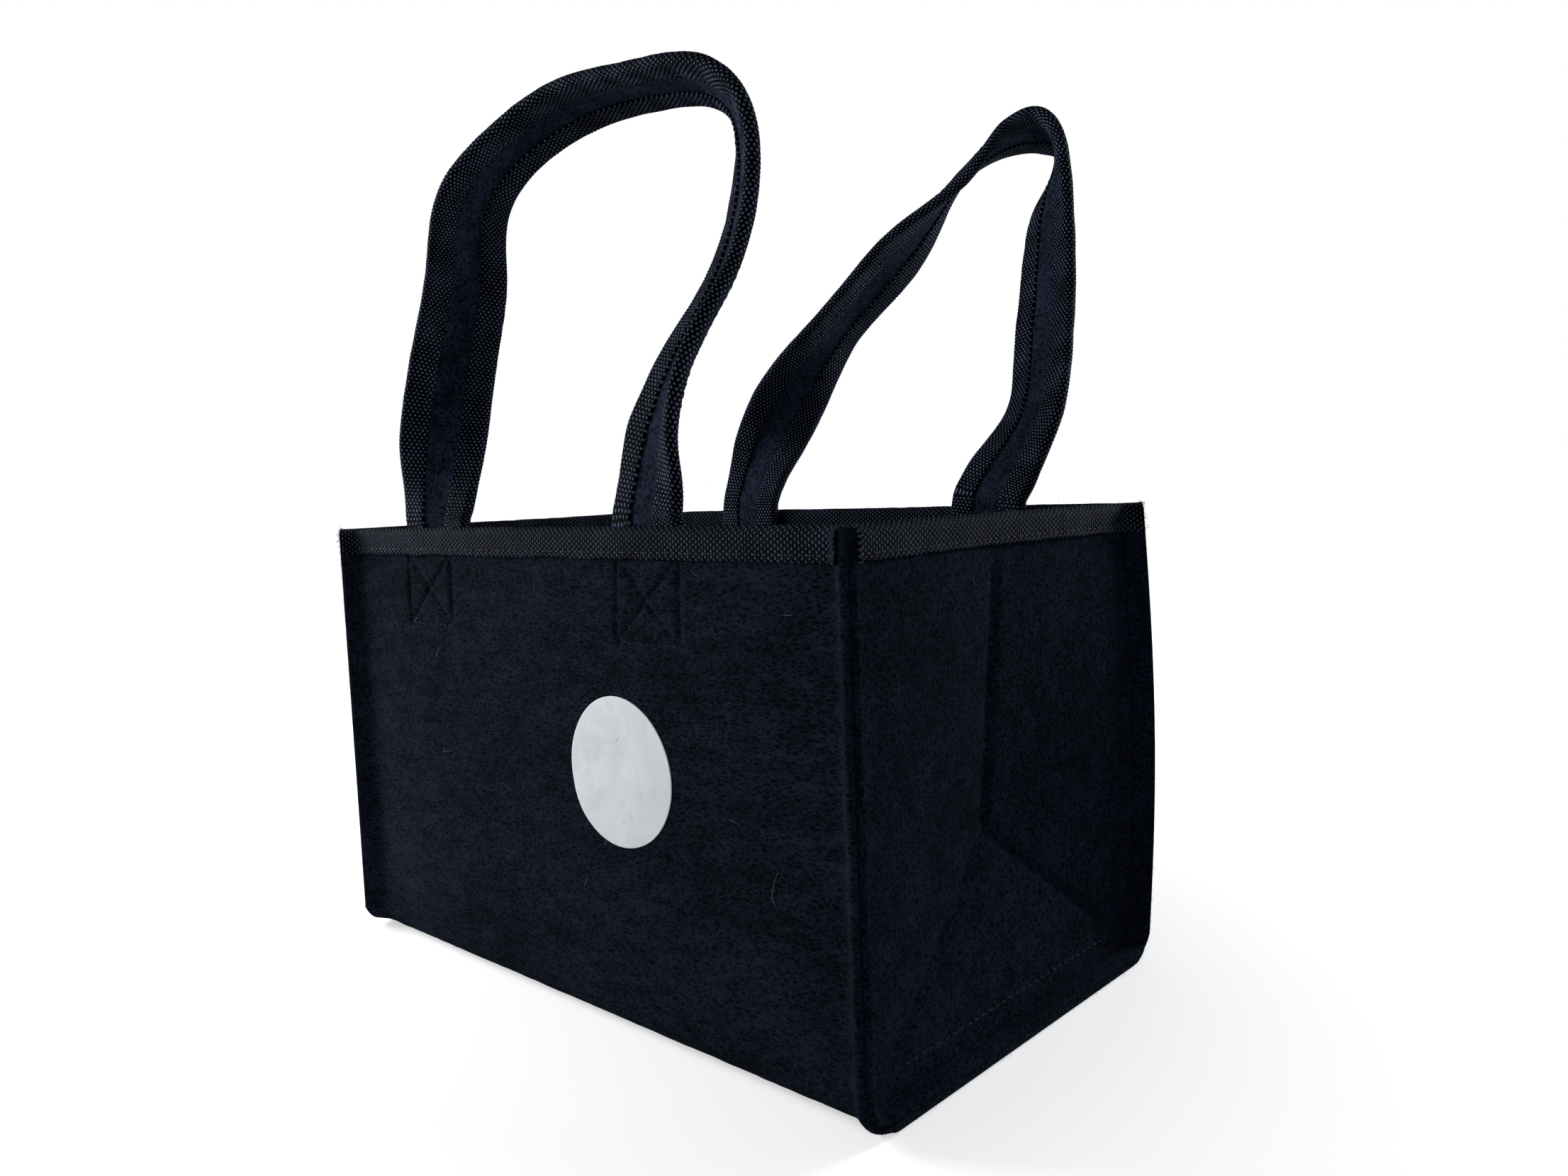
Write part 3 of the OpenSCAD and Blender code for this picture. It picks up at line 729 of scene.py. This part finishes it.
def tuck(y, z, half, foot):
    """Depth that a gusset is tucked in, soft at its creases. half is the half width, foot the
    height where the gusset leaves the base."""
    across = 1 - np.sqrt(y ** 2 + CREASE_R ** 2) / half
    up = (z - foot) / (APEX_H - foot)
    high = np.clip((z - APEX_H) / (TAPE_FOOT - APEX_H), 0, 1)
    depth = np.where(z < APEX_H, APEX_TUCK, mix(APEX_TUCK, RIM_TUCK, high))
    fall = np.where(across < up, across, up)
    soft = soft_min(across, up, CREASE_SHARP)
    from_side_crease = np.abs(across - up) / math.hypot(1 / half, 1 / (APEX_H - foot))
    from_crease = np.where(z > APEX_H, np.abs(y), from_side_crease)
    pressed = PRESSED_DEPTH * bell(from_crease, PRESSED_W) * ease(up * 4) * ease((TAPE_FOOT - z) / 6)
    return TUCK_GAIN * depth * np.maximum(0, mix(fall, soft, 0.9)) + pressed


def seam_strip(stations, lines):
    """Seam flange of a gusset, which bends away from its wall along n first."""
    strip = []
    for s, turn, along in stations:
        tip, bend = profile(lines, turn)
        d, flange = flange_distance(bend, tip, GUSSET_SHARES)
        p = bend + d[:, None] * flange
        y, z = seam_yz(s, turn, along, p[:, 1])
        strip.append(np.stack([p[:, 0], y, z], 1))
    return np.array(strip)


def filled(left, bottom, right):
    """Grid of points between a left, a bottom and a right line and a straight top."""
    v = along_path(left)[:, None] / along_path(left)[-1]
    u = along_path(bottom)[None, :] / along_path(bottom)[-1]
    top = left[0] + (right[0] - left[0]) * u[0][:, None]
    return ((1 - u)[:, :, None] * left[:, None] + u[:, :, None] * right[:, None]
            + (1 - v)[:, :, None] * top[None] + v[:, :, None] * bottom[None]
            - ((1 - u) * (1 - v))[:, :, None] * left[0] - (u * (1 - v))[:, :, None] * right[0]
            - ((1 - u) * v)[:, :, None] * left[-1] - (u * v)[:, :, None] * right[-1])


def gusset_face(side, stations, corner, lines, deep):
    """Points and faces of one face of a gusset: its seam strip and the panel between. corner is
    the station where the panel's left line turns into its bottom line."""
    strip = seam_strip(stations, lines)
    count, k = strip.shape[:2]
    border = strip[:, -1, 1:]
    left, bottom = border[:corner + 1], border[corner:count - corner]
    right = border[count - corner - 1:][::-1]
    y, z = np.moveaxis(filled(left, bottom, right), 2, 0)
    half, foot = abs(left[0, 0]), bottom[len(bottom) // 2, 1]
    p = np.stack([np.full_like(y, 80.0 * side), y, z], 2)
    sides, rim, low = GUSSET_HOLD
    hold = ease((half - np.abs(y)) / sides) * ease((BODY_H - z) / rim) * ease((z - foot) / low)
    wave = hold * (GUSSET_BOW + waves(p, *GUSSET_WAVES)) + waves(p, GUSSET_GRAIN) * (hold > 0)
    x = HALF_W - deep - tuck(y, z, half, foot) + wave
    # The panel's left, bottom and right lines are the strip's last column
    index = -np.ones(y.shape, int)
    last = np.arange(count) * k + k - 1
    index[:, 0] = last[:corner + 1]
    index[-1, :] = last[corner:count - corner]
    index[:, -1] = last[count - corner - 1:][::-1]
    free = index < 0
    index[free] = count * k + np.arange(free.sum())
    points = np.concatenate([strip.reshape(-1, 3), np.stack([x, y, z], 2)[free]])
    points[:, 0] *= side
    quads = np.stack([index[:-1, :-1], index[:-1, 1:], index[1:, 1:], index[1:, :-1]], -1).reshape(-1, 4)
    return points, np.concatenate([grid_faces(count, k), quads[:, ::-1]])


def build_gusset(name, side):
    up_z = spread([(PANEL_TOP, GUSSET_STEP), (FOLD_R, 0)])
    stations = seam_stations(up_z, GUSSET_STEP, 9)
    corner = len(up_z) + 3
    outer, _ = gusset_face(side, stations, corner, GUSSET_OUT, 0.0)
    inner, faces = gusset_face(side, stations, corner, GUSSET_IN, FELT)
    verts, faces, _ = thicken(outer, inner, faces if side < 0 else faces[:, ::-1])
    obj = make(f"felt_gusset_{name}", verts, faces.tolist(), FELT_SIDE_SHADED)
    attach(obj, "bag")
    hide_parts(f"{name}_gusset")
    out = unit(outer - inner)
    columns = len(GUSSET_SHARES)
    flat = np.arange(len(stations) * columns, len(outer))
    edge = np.arange(len(stations)) * columns
    fuzz = panel_fuzz(outer[flat], inner[flat], out[flat], (1500, 400), 81)
    fuzz.append(edge_fuzz(outer[edge], inner[edge], outer[edge + 4], 83))
    loose(f"felt_gusset_{name}_fuzz", fuzz, FIBRE)
    # Topstitching that holds the gusset to the base seam
    y = np.linspace(-TOPSTITCH_REACH, TOPSTITCH_REACH, 120)
    nearest = [flat[np.argmin((outer[flat, 1] - v) ** 2 + (outer[flat, 2] - TOPSTITCH_Z) ** 2)] for v in y]
    x = soften(outer[nearest], 3.0, 1.0)[:, 0]
    line = np.stack([x, y, np.full_like(y, TOPSTITCH_Z)], 1)
    parts = [stitches(line, out[nearest], pitch=TOPSTITCH_PITCH, length=TOPSTITCH_LEN)]
    loose(f"thread_gusset_{name}", parts, THREAD, sides=5)


# Rim tapes

# Each wall: half its length, how far its middle is tucked in, and its plan, with u along the
# wall and n outward
WALLS = {
    "front": (HALF_W, 0.0, lambda u, n: (u, -(HALF_D + n))),
    "back": (HALF_W, 0.0, lambda u, n: (-u, HALF_D + n)),
    "left": (HALF_D, RIM_TUCK, lambda u, n: (-(HALF_W + n), -u)),
    "right": (HALF_D, RIM_TUCK, lambda u, n: (HALF_W + n, u)),
}
RIM_STEP, RIM_SOFT, RIM_R, RIM_CLEAR, RIM_COLUMNS = 0.9, 1.3, 1.5, 0.05, 30
RIM_SEED, SEEDS_PER_RIM = 60, 5


def rim_frames(half, tuck_in):
    """Stations along one wall's top edge in its plan: place, outward direction, felt thickness,
    share of the inner leg and distance."""
    bend = np.array([half - PLY / SLANT, 0.0])
    tip = np.array([half, 0.0]) + SEAM_W * np.array([SLANT, SLANT]) + PLY * np.array([-SLANT, SLANT])
    corners = np.array([[-tip[0], tip[1]], [-bend[0], 0], [0, -tuck_in], [bend[0], 0], tip])
    length = along_path(corners)[-1]
    path = sample(corners, along_path(corners), np.linspace(0, length, int(length / RIM_STEP)))
    path = soften(path, RIM_SOFT, RIM_STEP)
    tangent = unit(np.gradient(path, axis=0))
    out = np.stack([-tangent[:, 1], tangent[:, 0]], 1)
    leg_end = half - FELT - TAPE - 3 * GAP
    main = ease((leg_end - np.abs(path[:, 0])) / 1.5)
    return path, out, mix(PLY, FELT, main), main, along_path(path)


def rim_section(thick, main, off):
    """n and z round the top edge at that distance off the felt: up the outer leg, over the edge
    and down the inner leg, which is short where main is 0, on the seam's flange."""
    top, r = BODY_H - (TAPE + RIM_CLEAR - off), RIM_R + off
    back = mix(thick + RIM_CLEAR, thick + off, main)
    back_r = min(r, (back + off) / 2)
    flat_on_top = back_r * 2 < back + off - 0.05
    rising = np.radians(np.linspace(15, 90, 6))
    falling = np.radians(np.linspace(90, 165, 6))[0 if flat_on_top else 1:]
    outer_leg = np.linspace(RIM_LOW, top - r, 9)
    rest = RIM_COLUMNS - len(outer_leg) - len(rising) - len(falling)
    n = np.concatenate([np.full(len(outer_leg), off), off - r + r * np.cos(rising),
                        -back + back_r + back_r * np.cos(falling), np.full(rest, -back)])
    z = np.concatenate([outer_leg, top - r + r * np.sin(rising), top - r + r * np.sin(falling),
                        np.linspace(top - r, mix(top - r * 0.9, RIM_LOW, main), rest)])
    return n, z


def rim_face(frames, off):
    """Grid of one face of a rim tape, in the wall's plan and z."""
    rows = []
    for place, out, thick, main in zip(*frames):
        n, z = rim_section(thick, main, off)
        rows.append(np.stack([place[0] + out[0] * n, place[1] + out[1] * n, z], 1))
    return np.array(rows)


def rim_tape(name, half, tuck_in, plan, seed):
    """Webbing folded over the top edge of one wall."""
    *frames, run = rim_frames(half, tuck_in)
    outer, inner = rim_face(frames, TAPE + RIM_CLEAR), rim_face(frames, RIM_CLEAR)
    # Small waves of the tape, a dent along its stitch line and a beaded lower edge
    q = along_path(outer[len(outer) // 2])
    u, v = np.meshgrid(run, q, indexing="ij")
    wave = waves(outer, (0.16, 11, seed), (0.1, 4, seed + 1))
    edge = np.minimum(v, q[-1] - v)
    dent = 0.28 * bell(edge - RIM_STITCH_IN, 0.45) * (0.75 + 0.25 * np.cos(2 * np.pi * u / 3.0))
    bead = 0.16 * bell(edge, 0.5) * (1 + np.cos(2 * np.pi * u / (2 * WEFT)))
    outer = outer + outside_normals(outer, inner) * (wave - dent + bead)[:, :, None]
    uneven = waves(own_line(run, seed), (0.22, 6, seed)) + 0.12 * np.sin(2 * np.pi * run / (2 * WEFT))
    for grid in (outer, inner):
        grid[:, 0, 2] += uneven
        grid[:, :, 0], grid[:, :, 1] = plan(grid[:, :, 0].copy(), grid[:, :, 1].copy())
    out = outer - inner
    middle = len(run) // 2
    faces = skin(outer, out[middle, 3], middle, 3)
    verts, faces, corners = thicken(outer, inner, faces, steps=2, bulge=0.2)
    uv = np.stack([u.ravel(), v.ravel()], 1)[corners]
    obj = make(f"tape_rim_{name}", verts, faces.tolist(), TAPE_CLOTH, uv)
    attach(obj, "bag")
    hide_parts(f"{name}_rim_tape")
    columns = [np.argmin(np.abs(q - at)) for at in (RIM_STITCH_IN, q[-1] - RIM_STITCH_IN)]
    seams = [stitches(outer[:, c], unit(out[:, c]), pitch=TAPE_PITCH, sink=0.02) for c in columns]
    loose(f"thread_rim_{name}", seams, THREAD, sides=5)
    fray = [fibres(outer[end], outer[end] - outer[beside], 26, (0.4, 1.6), seed + more, lift=0.8, radius=0.08)
            for end, beside, more in ((0, 3, 2), (-1, -4, 3))]
    loose(f"tape_rim_{name}_fray", fray, THREAD, sides=4)


# Straps

# Softening of a strap's path and of its twist. Its lie off the plain loop starts this far below
# the hinge line and comes in over this length
STRAP_STEP, PATH_SOFT, TURN_SOFT = 0.6, 2.5, 3.0
LIE_BELOW, LIE_FADE = 20, 24


def square_to(path, wide):
    """Across and through directions of a strap, squared to its path."""
    along = unit(np.gradient(path, axis=0))
    across = unit(wide - (wide * along).sum(1)[:, None] * along)
    return across, np.cross(along, across)


def strap_path(wall, feet, shape, lie):
    """Frames of one whole strap, from its left sewn end over the loop to its right sewn end:
    places, across directions, through directions and distance from the left hinge line. Then
    the loop's length."""
    rise, lean, swell, shift, square, twist = shape
    up = np.array([0, math.sin(math.radians(lean)), math.cos(math.radians(lean))])
    into = np.array([0, math.cos(math.radians(lean)), -math.sin(math.radians(lean))])
    a = np.radians(90 * (1 - np.cos(np.linspace(0, math.pi, 1601))))
    level = np.sin(a) ** (2 / square)
    k = level ** 1.6
    mid, half = (feet[0] + feet[1]) / 2, (feet[1] - feet[0]) / 2
    u = mid + shift * k - (half + swell * k) * sign_power(np.cos(a), 2 / square)
    loop = np.stack([u, np.full_like(u, wall * HINGE_Y), np.full_like(u, HINGE_Z)], 1) \
        + (rise * level)[:, None] * up
    length = along_path(loop)[-1]
    sewn = [(TAB_Y, BODY_H - TAB_LEN), (TAB_Y, JOG_LOW), (HINGE_Y, RIM_LOW), (HINGE_Y, HINGE_Z)]
    left, right = [np.array([[foot, wall * y, z] for y, z in sewn]) for foot in feet]
    whole = np.concatenate([left[:-1], loop, right[-2::-1]])
    total = along_path(whole)[-1]
    at = np.linspace(0, total, int(total / STRAP_STEP))
    path = soften(sample(whole, along_path(whole), at), PATH_SOFT, at[1])
    run = at - along_path(left)[-1]
    share = np.clip((2 * run - length) / (length - 2 * FLAT_LEN), -1, 1)
    turn = np.radians(90 * (1 + sign_power(share, twist)))
    wide = np.stack([np.cos(turn), 0 * turn, 0 * turn], 1) + np.sin(turn)[:, None] * into
    across, through = square_to(path, wide)
    across, through = square_to(path, unit(soften(across, TURN_SOFT, at[1])))
    free = ease((run + LIE_BELOW) / LIE_FADE) * ease((length + LIE_BELOW - run) / LIE_FADE)
    off = free[:, None] * smooth_through(lie, run / length)
    path = path + off[:, :3]
    a = np.radians(off[:, 3:])
    across, through = square_to(path, np.cos(a) * across + np.sin(a) * through)
    return path, across, through, run, length


def swept(way, section, cup):
    """Grid of points: section gives (a, b) per column; cup bends the strap across its width."""
    path, across, through = way
    a = section[None, :, 0]
    b = section[None, :, 1] + cup[:, None] * (np.abs(a) / (STRAP_W / 2)) ** 1.5
    return path[:, None] + a[:, :, None] * across[:, None] + b[:, :, None] * through[:, None]


def tape_sections():
    """Outer and inner line of the tape round the +a edge of the strap, from lip to lip."""
    arc = np.radians(np.linspace(-90, 90, 9))[1:-1]
    lines = []
    for half in (STRAP_HALF, STRAP_EDGE / 2 + GAP):
        end = STRAP_W / 2 - (STRAP_HALF - half)
        flat = np.linspace(STRAP_LIP, end - half, 8)
        lines.append(np.concatenate([
            np.stack([flat, np.full_like(flat, -half)], 1),
            np.stack([end - half + half * np.cos(arc), half * np.sin(arc)], 1),
            np.stack([flat[::-1], np.full_like(flat, half)], 1)]))
    return lines


def strap_cup(which, run, length):
    """How far the edges of a strap stand off its middle, towards the side that faces out."""
    everywhere, humps = CUPS[which]
    free = ease((run - 4) / 22) * ease((length - 4 - run) / 22)
    return -free * (everywhere + sum(high * bell(run - at * length, wide) for high, at, wide in humps))


def strap_bodies(obj):
    """Bake a strap's placement into its mesh."""
    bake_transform(obj)


def strap_felt(which, way, cup, seed):
    """Felt core of a strap, with its fibres."""
    path, _, through = way
    edge = STRAP_W / 2 - TAPE - GAP
    under_tape = np.linspace(STRAP_LIP + 0.3, edge, 6)
    bare = np.linspace(-STRAP_LIP + 0.6, STRAP_LIP - 0.6, 12)
    a = np.concatenate([-under_tape[::-1], bare, under_tape])
    thick = np.where(np.abs(a) > STRAP_LIP, STRAP_EDGE / 2 - 0.05, STRAP_CORE / 2)
    top = swept(way, np.stack([a, thick], 1), cup)
    low = swept(way, np.stack([a, -thick], 1), cup)
    free = np.abs(a) < STRAP_LIP - 0.4
    rough = waves(top, (0.1, 2.6, seed + 2), (0.14, 6, seed + 3))
    relief = through[:, None] * (rough * free)[:, :, None]
    top, low = top + relief, low - relief
    middle = len(path) // 2
    faces = skin(top, through[middle], middle, 12)
    verts, faces, _ = thicken(top, low, faces)
    obj = make(f"strap_{which}_felt", verts, faces.tolist(), FELT_STRAP_LIGHTENED)
    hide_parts(f"{which}_handle_felt", f"{which}_left_tab", f"{which}_right_tab")
    strap_bodies(obj)
    out = np.repeat(through[:, None], free.sum(), 1).reshape(-1, 3)
    fuzz = [fibres(top[:, free].reshape(-1, 3), out, 500, (0.8, 2.8), seed + 7, lift=0.3),
            fibres(low[:, free].reshape(-1, 3), -out, 500, (0.8, 2.8), seed + 8, lift=0.3)]
    strap_bodies(tubes(f"strap_{which}_fuzz", *together(fuzz), FIBRE, sides=3))


def strap_tape(which, name, sign, way, run, cup, seed):
    """Webbing over one edge of a strap. It returns the threads of its two seams."""
    lines = tape_sections()
    outer, inner = [swept(way, line * sign, cup) for line in lines]
    q = along_path(lines[0])
    u, v = np.meshgrid(run - run[0], q, indexing="ij")
    from_lip = np.minimum(v, q[-1] - v)
    wave = waves(outer, (0.14, 9, seed + 5), (0.08, 3.5, seed + 6))
    ribs = 0.1 * np.cos(2 * np.pi * u / WEFT)
    dent = 0.25 * bell(from_lip - STRAP_STITCH_IN, 0.5)
    normal = unit(outer - inner)
    outer = outer + normal * (wave + ribs - dent)[:, :, None]
    middle = len(run) // 2
    faces = skin(outer, (outer - inner)[middle, 3], middle, 3)
    verts, faces, corners = thicken(outer, inner, faces, steps=2, bulge=0.15)
    uv = np.stack([u.ravel(), v.ravel()], 1)[corners]
    obj = make(f"strap_{which}_{name}_tape", verts, faces.tolist(), STRAP_CLOTH_LIGHTENED, uv)
    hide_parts(f"{which}_handle_{name}_tape", f"{which}_left_tab_{name}_tape",
                f"{which}_right_tab_{name}_tape")
    strap_bodies(obj)
    columns = [np.argmin(np.abs(q - at)) for at in (STRAP_STITCH_IN, q[-1] - STRAP_STITCH_IN)]
    return [stitches(outer[:, c], normal[:, c], pitch=TAPE_PITCH, sink=0.02) for c in columns]


def build_strap(which):
    path, across, through, run, length = strap_path(*HANDLES[which], LIE[which])
    cup = strap_cup(which, run, length)
    seed = STRAP_SEEDS[which]
    line = own_line(run, seed)
    free = ease(run / 25) * ease((length - run) / 25)
    path = path + (free * waves(line, (0.9, 34, seed)))[:, None] * through \
        + (free * waves(line, (0.5, 51, seed + 1)))[:, None] * across
    way = (path, across, through)
    strap_felt(which, way, cup, seed)
    threads = strap_tape(which, "inner", 1, way, run, cup, seed)
    threads += strap_tape(which, "outer", -1, way, run, cup, seed)
    strap_bodies(tubes(f"thread_strap_{which}", *together(threads), THREAD))


# Label

def build_label():
    rings, spokes = 14, 96
    radius = np.append(np.linspace(0.08, 0.99, rings - 1), 1) * LABEL_D / 2
    angle = np.linspace(0, 2 * math.pi, spokes, endpoint=False)
    x = np.append(LABEL_X, LABEL_X + radius[:, None] * np.cos(angle))
    z = np.append(LABEL_Z, LABEL_Z + radius[:, None] * np.sin(angle))
    back = np.stack([x, -(HALF_D + wall_bow(x, z, -1) * 0.9 + GAP), z], 1)
    front = back - [0, LABEL_T, 0]
    m, last = len(x), 1 + (rings - 1) * spokes
    turns = [(i, (i + 1) % spokes) for i in range(spokes)]
    disc = [(0, 1 + j, 1 + i) for i, j in turns]
    disc += [(a + i, a + j, a + spokes + j, a + spokes + i) for a in range(1, last, spokes) for i, j in turns]
    rim = [(m + last + i, m + last + j, last + j, last + i) for i, j in turns]
    faces = [f[::-1] for f in disc] + [tuple(m + i for i in f) for f in disc] + rim
    obj = make("paper_label", np.concatenate([front, back]), faces, PAPER)
    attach(obj, "bag")
    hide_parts("round_label")


# Floor, backdrop, lights and camera, in metres and watts

FLOOR_SIZE, FLOOR_Z = 40.0, -0.0005
BACKDROP_LIGHT, BACKDROP_SEEN = 0.05, 1.0
WHITE, COOL = (1, 1, 1), (0.97, 0.985, 1)
# Each light: its place, what it looks at, its size, its power and its colour
LIGHTS = {
    "softbox_top": ((0.1, 0.35, 1.3), (0, 0, 0.1), 1.2, 2.5, WHITE),
    "softbox_left": ((-0.5, -0.3, 0.3), (0, -0.07, 0.1), 0.3, 3.7, COOL),
    "softbox_front": ((0.6, -0.55, 0.5), (0, 0, 0.15), 0.3, 0.9, COOL),
    "softbox_back": ((0.42, 0.95, 0.4), (0.1, 0, 0.1), 0.25, 6.5, COOL),
}
CAMERA_AT = (0.2992, -0.2894, 0.1629)
CAMERA_YAW, CAMERA_PITCH, CAMERA_ROLL = math.radians(42.716), math.radians(-4.956), math.radians(-2.203)
CAMERA_LENS, CAMERA_SENSOR = 27.10, 36.0


def build_floor():
    """Pale floor that glows a little to the camera, less so near the bag, so its shadow shows; the weaker
    glow there is itself a painted shadow round the bag.
    """
    mesh = bpy.data.meshes.new("floor")
    s, z = FLOOR_SIZE, FLOOR_Z
    mesh.from_pydata([(-s, -s, z), (s, -s, z), (s, s, z), (-s, s, z)], [], [(0, 1, 2, 3)])
    floor = add("floor", mesh)
    material, tree, shader = nodes_of("pale_floor")
    fill(shader, {"Base Color": (0.78, 0.79, 0.8, 1), "Roughness": 0.9, "Specular IOR Level": 0.0,
                  "Emission Color": (*WHITE, 1)})
    seen = node(tree, "LightPath").outputs["Is Camera Ray"]
    away = node(tree, "VectorMath", {0: node(tree, "TexCoord").outputs["Object"]}, operation="LENGTH")
    # Painted shadow: the camera's glow falls from 1.0 at 0.5 m from the floor's middle to 0.55 at 0.14 m,
    # round the bag.
    glow = node(tree, "MapRange", {"Value": away.outputs["Value"]},
                from_min=0.14, from_max=0.5, to_min=0.55, to_max=1.0)
    tree.links.new(math_node(tree, "MULTIPLY", seen, glow.outputs[0]), shader.inputs["Emission Strength"])
    mesh.materials.append(material)


def build_backdrop():
    """White to the camera, with a faint light from all round."""
    world = bpy.data.worlds.new("studio")
    bpy.context.scene.world = world
    world.use_nodes = True
    tree = world.node_tree
    tree.nodes.clear()
    both = node(tree, "MixShader", {0: node(tree, "LightPath").outputs["Is Camera Ray"]})
    for i, strength in ((1, BACKDROP_LIGHT), (2, BACKDROP_SEEN)):
        light = node(tree, "Background")
        fill(light, {"Color": (*WHITE, 1), "Strength": strength})
        tree.links.new(light.outputs[0], both.inputs[i])
    node(tree, "OutputWorld", {0: both.outputs[0]})


def place_at(obj, place, x_axis, y_axis, z_axis):
    """Set an object's place and axes."""
    rows = [[x_axis[i], y_axis[i], z_axis[i], place[i]] for i in range(3)]
    obj.matrix_world = Matrix(rows + [[0, 0, 0, 1]])


def build_lights():
    for name, (place, aim, size, power, colour) in LIGHTS.items():
        light = bpy.data.lights.new(name, "AREA")
        light.shape = "SQUARE"
        light.size = size
        light.energy = power
        light.color = colour
        z_axis = unit(np.array(place) - np.array(aim))
        x_axis = unit(np.cross([0, 0, 1], z_axis))
        place_at(add(name, light), place, x_axis, np.cross(z_axis, x_axis), z_axis)


def build_camera():
    cy, sy = math.cos(CAMERA_YAW), math.sin(CAMERA_YAW)
    cp, sp = math.cos(CAMERA_PITCH), math.sin(CAMERA_PITCH)
    cr, sr = math.cos(CAMERA_ROLL), math.sin(CAMERA_ROLL)
    forward = np.array([-sy * cp, cy * cp, sp])
    right = np.array([cy, sy, 0.0])
    up = np.cross(right, forward)
    data = bpy.data.cameras.new("camera")
    data.lens = CAMERA_LENS
    data.sensor_width = CAMERA_SENSOR
    data.sensor_fit = "HORIZONTAL"
    data.clip_start = 0.01
    camera = add("camera", data)
    place_at(camera, CAMERA_AT, cr * right + sr * up, cr * up - sr * right, -forward)
    bpy.context.scene.camera = camera


build_wrap()
build_gusset("left", -1)
build_gusset("right", 1)
for index, (wall_name, wall_shape) in enumerate(WALLS.items()):
    rim_tape(wall_name, *wall_shape, RIM_SEED + SEEDS_PER_RIM * index)
for handle in HANDLES:
    build_strap(handle)
build_box_stitches()
build_label()
build_floor()
build_backdrop()
build_lights()
build_camera()
bpy.context.scene.view_settings.view_transform = "Standard"
